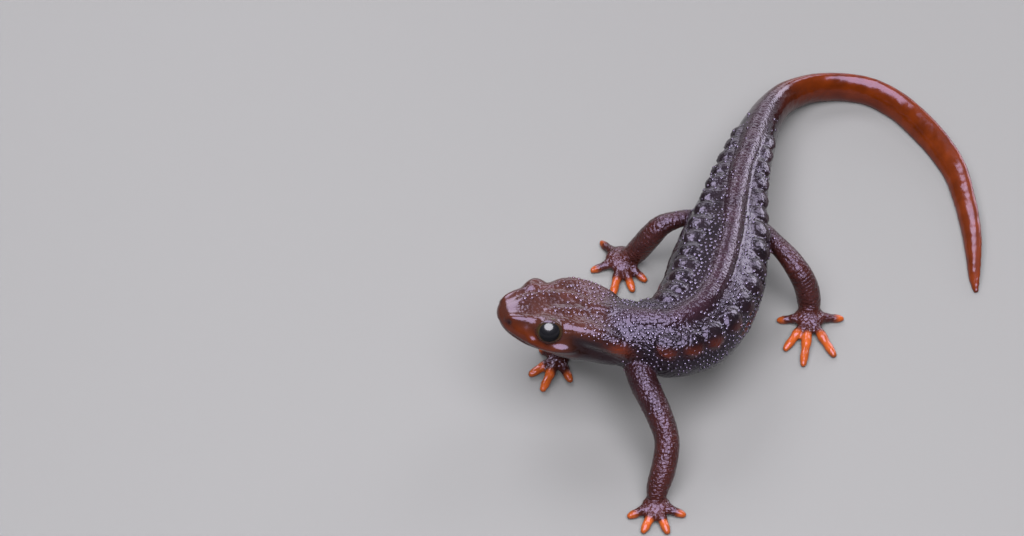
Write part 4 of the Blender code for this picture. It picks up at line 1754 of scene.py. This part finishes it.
@dataclass(frozen=True)
class Eye:
    """One eyeball: black, with a thin olive ring near the lids."""

    forms: HeadForms
    side: Side
    detail: int = 48
    wider: tuple[float, float] = (0.14, 0.0)
    flatness: float = 0.9

    def build(self) -> Mesh:
        """Slightly flattened eyeball, its ring told by an attribute.

        Returns:
            The mesh in millimetres on the plan.
        """
        radius = self.forms.eye_radius + dict(zip(Side, self.wider))[self.side]
        turn = self.forms.gaze(self.side).to_track_quat("Z", "Y").to_matrix()
        middle = self.forms.eye_middle(self.side)
        shape = bmesh.new()
        bmesh.ops.create_uvsphere(shape, u_segments=self.detail, v_segments=self.detail // 2, radius=1.0)
        angles, heights = [], []
        for vert in shape.verts:
            angles.append(math.degrees(math.acos(max(-1.0, min(1.0, vert.co.z)))) / 90.0)
            vert.co = middle + turn @ (Vector((vert.co.x, vert.co.y, vert.co.z * self.flatness)) * radius)
            heights.append((vert.co - middle).z / self.forms.eye_radius)
        mesh = mesh_of(shape, "eye")
        store(mesh, "from_pupil", angles)
        store(mesh, "height", heights)
        mesh.shade_smooth()
        return mesh

    def dress(self, mesh: Mesh, finish: Material) -> None:
        """Gives the eyeball its finish and sets it in place of the solid eye."""
        name = f"eye_{self.side.name.lower()}"
        placed(mesh, f"{name}_ball", [name], finish)


class Groups:
    """Shader node groups that several finishes share, each built once."""

    made: dict[str, Tree] = {}
    STRIPE_TURN = 2 * math.pi / 0.6  # one crease for each 0.6 mm along
    STRIPE_WANDER = 20.0
    STRIPE_SHARE = 0.11
    FINE_SHARE = 0.7
    CELL_SHARE = 1.3

    @classmethod
    def mottle(cls) -> Tree:
        """Group of a soft random mask, and a fine height with cells and creases across the way along.

        Returns:
            The group, built at the first call.
        """
        if "mottle" in cls.made:
            return cls.made["mottle"]
        inputs = {
            "Place": ("Vector", None),
            "Scale": ("Float", 300.0),
            "Fine scale": ("Float", 2500.0),
            "Cell scale": ("Float", 1500.0),
            "Along": ("Float", 0.0),
            "Stripes": ("Float", 0.0),
        }
        graph = Graph.group("mottle", "ShaderNodeTree", inputs, {"Mask": "Float", "Height": "Float"})
        given = graph.given
        clouds = []
        for scale, detail in (("Scale", 4.0), ("Fine scale", 2.0)):
            inputs = {"Vector": given["Place"], "Scale": given[scale], "Detail": detail}
            clouds.append(graph.add("ShaderNodeTexNoise", inputs).outputs["Fac"])
        mask, fine = clouds
        graph.tree.links.new(mask, graph.result["Mask"])
        turns = graph.weighed(given["Along"], cls.STRIPE_TURN, mask, cls.STRIPE_WANDER)
        stripes = graph.maths("MULTIPLY", graph.maths("SINE", turns), given["Stripes"])
        cells = graph.add("ShaderNodeTexVoronoi", {"Vector": given["Place"], "Scale": given["Cell scale"]})
        dome = graph.maths("MULTIPLY", cells.outputs["Distance"], cells.outputs["Distance"])
        rough = graph.weighed(fine, cls.FINE_SHARE, stripes, cls.STRIPE_SHARE)
        graph.tree.links.new(graph.weighed(rough, 1.0, dome, -cls.CELL_SHARE), graph.result["Height"])
        cls.made["mottle"] = graph.tree
        return graph.tree


@dataclass(frozen=True)
class SkinFinish:
    """Wet skin whose colour and grain follow the markings, used by the skin and its granules; its colour
    also holds painted shade on the cheeks, throat and nostrils.
    """

    name: str
    dark: Colour = (0.0055, 0.0034, 0.0044)
    dark_shares: tuple[float, float] = (0.7, 1.4)
    belly: Colour = (0.004, 0.0025, 0.002)
    ridge: Colour = (0.013, 0.0055, 0.008)
    limb: Colour = (0.0115, 0.0039, 0.0044)
    under: Colour = (0.05, 0.011, 0.004)
    head: Colour = (0.026, 0.0082, 0.0052)
    # Painted shade of the cheeks and throat.
    cheek: Colour = (0.007, 0.0025, 0.0016)
    rust: Colour = (0.052, 0.0098, 0.0022)
    tail: Colour = (0.055, 0.0085, 0.0003)
    ember: Colour = (0.062, 0.0105, 0.002)
    orange: Colour = (0.19, 0.038, 0.006)
    # Dark seam of the mouth line, and painted shade in the nostrils.
    mouth: Colour = (0.006, 0.002, 0.0015)
    lid: Colour = (0.014, 0.009, 0.004)
    sheen: Colour = (0.79, 0.68, 1.0)
    shine: float = 0.31
    dry_roughness: float = 0.35
    wet_roughness: float = 0.17
    grain_depth: float = 0.00018

    @classmethod
    def of_granules(cls) -> "SkinFinish":
        """The same skin on the granules, which are smooth and shine more."""
        return cls("granule_skin", shine=1.0, dry_roughness=0.12, wet_roughness=0.12, grain_depth=0.00002)

    def layers(self) -> tuple[tuple[Colour, str], ...]:
        """Lists the colours laid over the dark skin in turn.

        Returns:
            Each colour with the name of its mask.
        """
        return (
            (self.limb, "limb"),
            (self.under, "under"),
            (self.head, "warm"),
            # painted shade of the cheeks and throat
            (self.cheek, "cheek"),
            (self.tail, "tail"),
            (self.ridge, "ridge"),
            (self.rust, "rust"),
            (self.belly, "belly"),
            (self.ember, "ember"),
            (self.orange, "orange"),
            (self.lid, "lid"),
            # dark mouth seam and painted shade in the nostrils
            (self.mouth, "mouth"),
        )

    def build(self) -> Material:
        """Makes the material with its colours, wet shine and grain.

        Returns:
            The material.
        """
        material, graph, shader = new_material(self.name)
        mottle = graph.add("ShaderNodeGroup", node_tree=Groups.mottle())
        place = graph.add("ShaderNodeTexCoord").outputs["Object"]
        graph.feed(mottle, {"Place": place, "Along": graph.mask("along"), "Stripes": graph.mask("stripes")})
        ends = [(*(part * share for part in self.dark), 1.0) for share in self.dark_shares]
        colour = graph.mixed(*ends, mottle.outputs["Mask"])
        for layer, mask in self.layers():
            colour = graph.mixed(colour, (*layer, 1.0), graph.mask(mask))
        shade = graph.ranged(mottle.outputs["Mask"], 0.3, 0.7, 0.7, 1.25)
        wetness = graph.ranged(graph.mask("wet"), 0.0, 1.0, self.dry_roughness, self.wet_roughness)
        height = graph.maths("MULTIPLY", mottle.outputs["Height"], graph.mask("fine"))
        bumps = {"Strength": 1.0, "Distance": self.grain_depth, "Height": height}
        graph.feed(
            shader,
            {
                "Base Color": graph.mixed(colour, shade, 1.0, "MULTIPLY"),
                "Roughness": wetness,
                "Specular IOR Level": self.shine,
                "Specular Tint": (*self.sheen, 1.0),
                "Normal": graph.add("ShaderNodeBump", bumps).outputs["Normal"],
            },
        )
        return material


@dataclass(frozen=True)
class EyeFinish:
    """Polished black eye with an olive ring and dark brown behind it."""

    name: str = "eye_black"
    black: Colour = (0.003, 0.003, 0.004)
    ring: Colour = (0.022, 0.017, 0.006)
    behind: Colour = (0.01, 0.006, 0.004)
    stops: tuple = (0.54, 0.61, 0.89, 0.95)
    gloss: tuple[float, float] = (0.03, 0.9)
    gloss_height: float = 0.7
    gloss_roughness: float = 0.16
    shine: float = 0.05

    def build(self) -> Material:
        """Makes the material, whose colour follows the distance from the pupil.

        Returns:
            The material.
        """
        material, graph, shader = new_material(self.name)
        ramp = graph.add("ShaderNodeValToRGB", {"Fac": graph.mask("from_pupil")})
        stops = ramp.color_ramp.elements
        for place in self.stops[1:-1]:
            stops.new(place)
        for stop, place, colour in zip(stops, self.stops, (self.black, self.ring, self.ring, self.behind)):
            stop.position, stop.color = place, (*colour, 1.0)
        gloss = graph.ranged(graph.mask("height"), 0.0, self.gloss_height, *self.gloss, "SMOOTHSTEP")
        graph.feed(
            shader,
            {
                "Base Color": ramp.outputs["Color"],
                "Coat Weight": gloss,
                "Coat Roughness": self.gloss_roughness,
                "Specular IOR Level": self.shine,
            },
        )
        return material


@dataclass(frozen=True)
class Studio:
    """Pale floor, soft lights and the camera at the photograph's angle."""

    floor_half: float = 1.5
    floor_colour: Colour = (0.085, 0.085, 0.081)
    floor_lighter: float = 1.05
    floor_roughness: float = 0.6
    floor_mottle: float = 6.0
    sky_colour: Colour = (0.9, 0.92, 1.0)
    sky_strength: float = 0.09
    lamp_colour: Colour = (0.95, 0.93, 1.0)
    # name, place, size across and up, watts
    lamps: tuple = (
        ("softbox_over", (-0.02, -0.2, 0.61), (0.84, 0.74), 22.0),
        ("softbox_back", (0.08, 0.68, 0.17), (0.8, 0.2), 1.4),
        ("softbox_high", (0.03, 0.45, 0.52), (0.9, 0.5), 0.5),
        ("softbox_right", (0.46, 0.44, 0.2), (0.3, 0.26), 1.9),
        ("softbox_left", (-0.2, 0.43, 0.45), (0.34, 0.28), 3.0),
        ("softbox_crown", (0.3, 0.43, 0.42), (0.24, 0.18), 1.0),
    )
    camera_away: tuple[float, float, float] = (0.0, -0.3317, 0.3953)
    lens: float = 100.0
    sensor: float = 36.0
    nearest: float = 0.01

    def floor(self) -> None:
        """Pale floor under the newt."""
        shape = bmesh.new()
        bmesh.ops.create_grid(shape, x_segments=1, y_segments=1, size=self.floor_half)
        mesh = mesh_of(shape, "floor")
        material, graph, shader = new_material("pale_floor")
        mottle = graph.add("ShaderNodeGroup", node_tree=Groups.mottle())
        place = graph.add("ShaderNodeTexCoord").outputs["Object"]
        graph.feed(mottle, {"Place": place, "Scale": self.floor_mottle})
        ends = [(*(part * share for part in self.floor_colour), 1.0) for share in (1.0, self.floor_lighter)]
        colour = graph.mixed(*ends, mottle.outputs["Mask"])
        graph.feed(shader, {"Base Color": colour, "Roughness": self.floor_roughness})
        mesh.materials.append(material)
        linked("floor", mesh)

    def light(self, name: str, place: Sequence[float], size: tuple[float, float], power: float) -> None:
        """Sets an oval soft light, aimed at the newt.

        Args:
            name: Name of the light.
            place: Place of its middle.
            size: Its size across and up.
            power: Its power in watts.
        """
        lamp = bpy.data.lights.new(name, "AREA")
        lamp.shape = "ELLIPSE"
        lamp.size, lamp.size_y = size
        lamp.energy = power
        lamp.color = self.lamp_colour
        self.aimed(linked(name, lamp), Vector(place), Vector())

    @staticmethod
    def aimed(holder: Object, away: Vector, target: Vector) -> None:
        """Sets a light or camera at some way from a target, and turns it there."""
        holder.location = target + away
        holder.rotation_euler = (-away).to_track_quat("-Z", "Y").to_euler()

    def build(self) -> None:
        """Floor, lights, surroundings and camera."""
        self.floor()
        for lamp in self.lamps:
            self.light(*lamp)
        world = bpy.data.worlds.new("studio")
        world.use_nodes = True
        sky = world.node_tree.nodes["Background"]
        sky.inputs["Color"].default_value = (*self.sky_colour, 1.0)
        sky.inputs["Strength"].default_value = self.sky_strength
        bpy.context.scene.world = world
        bpy.context.scene.view_settings.view_transform = "Standard"
        eye = bpy.data.cameras.new("camera")
        eye.lens = self.lens
        eye.sensor_width = self.sensor
        eye.clip_start = self.nearest
        camera = linked("camera", eye)
        self.aimed(camera, Vector(self.camera_away), -PLAN_MIDDLE * MM)
        bpy.context.scene.camera = camera


def placed(
    mesh: Mesh, name: str, nodes: Sequence[str] = (), material: Material | None = None
) -> None:
    """Brings a mesh from the plan into the frame as one piece, and reports it.

    Args:
        mesh: Mesh in millimetres on the plan.
        name: Name of the piece.
        nodes: Solids that the piece replaces.
        material: Finish of the piece, none where the mesh has its own.
    """
    mesh.transform(Matrix.Scale(MM, 4) @ Matrix.Translation(-PLAN_MIDDLE))
    mesh.name = name
    if material:
        mesh.materials.append(material)
    piece = linked(name, mesh)
    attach(piece, "root")
    if nodes:
        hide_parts(*nodes)
    log.info("%s: %d triangles", name, sum(len(polygon.vertices) - 2 for polygon in mesh.polygons))


def main() -> None:
    """Builds the dressed newt round the frame and reports each piece."""
    logging.basicConfig(level=logging.INFO, format="%(message)s")
    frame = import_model()
    Studio().build()
    plan = BodyPlan()
    forms = HeadForms(plan)
    skin = Skin(plan, forms, NoduleRows(plan), LIMBS)
    granules = Granules()
    mesh = skin.build()
    bands = granules.build(mesh)
    skin.dress(mesh, [name for name in frame["nodes"] if not name.startswith("eye_")])
    granules.dress(bands)
    eye_finish = EyeFinish().build()
    for side in Side:
        eye = Eye(forms, side)
        eye.dress(eye.build(), eye_finish)


if __name__ == "__main__":
    main()
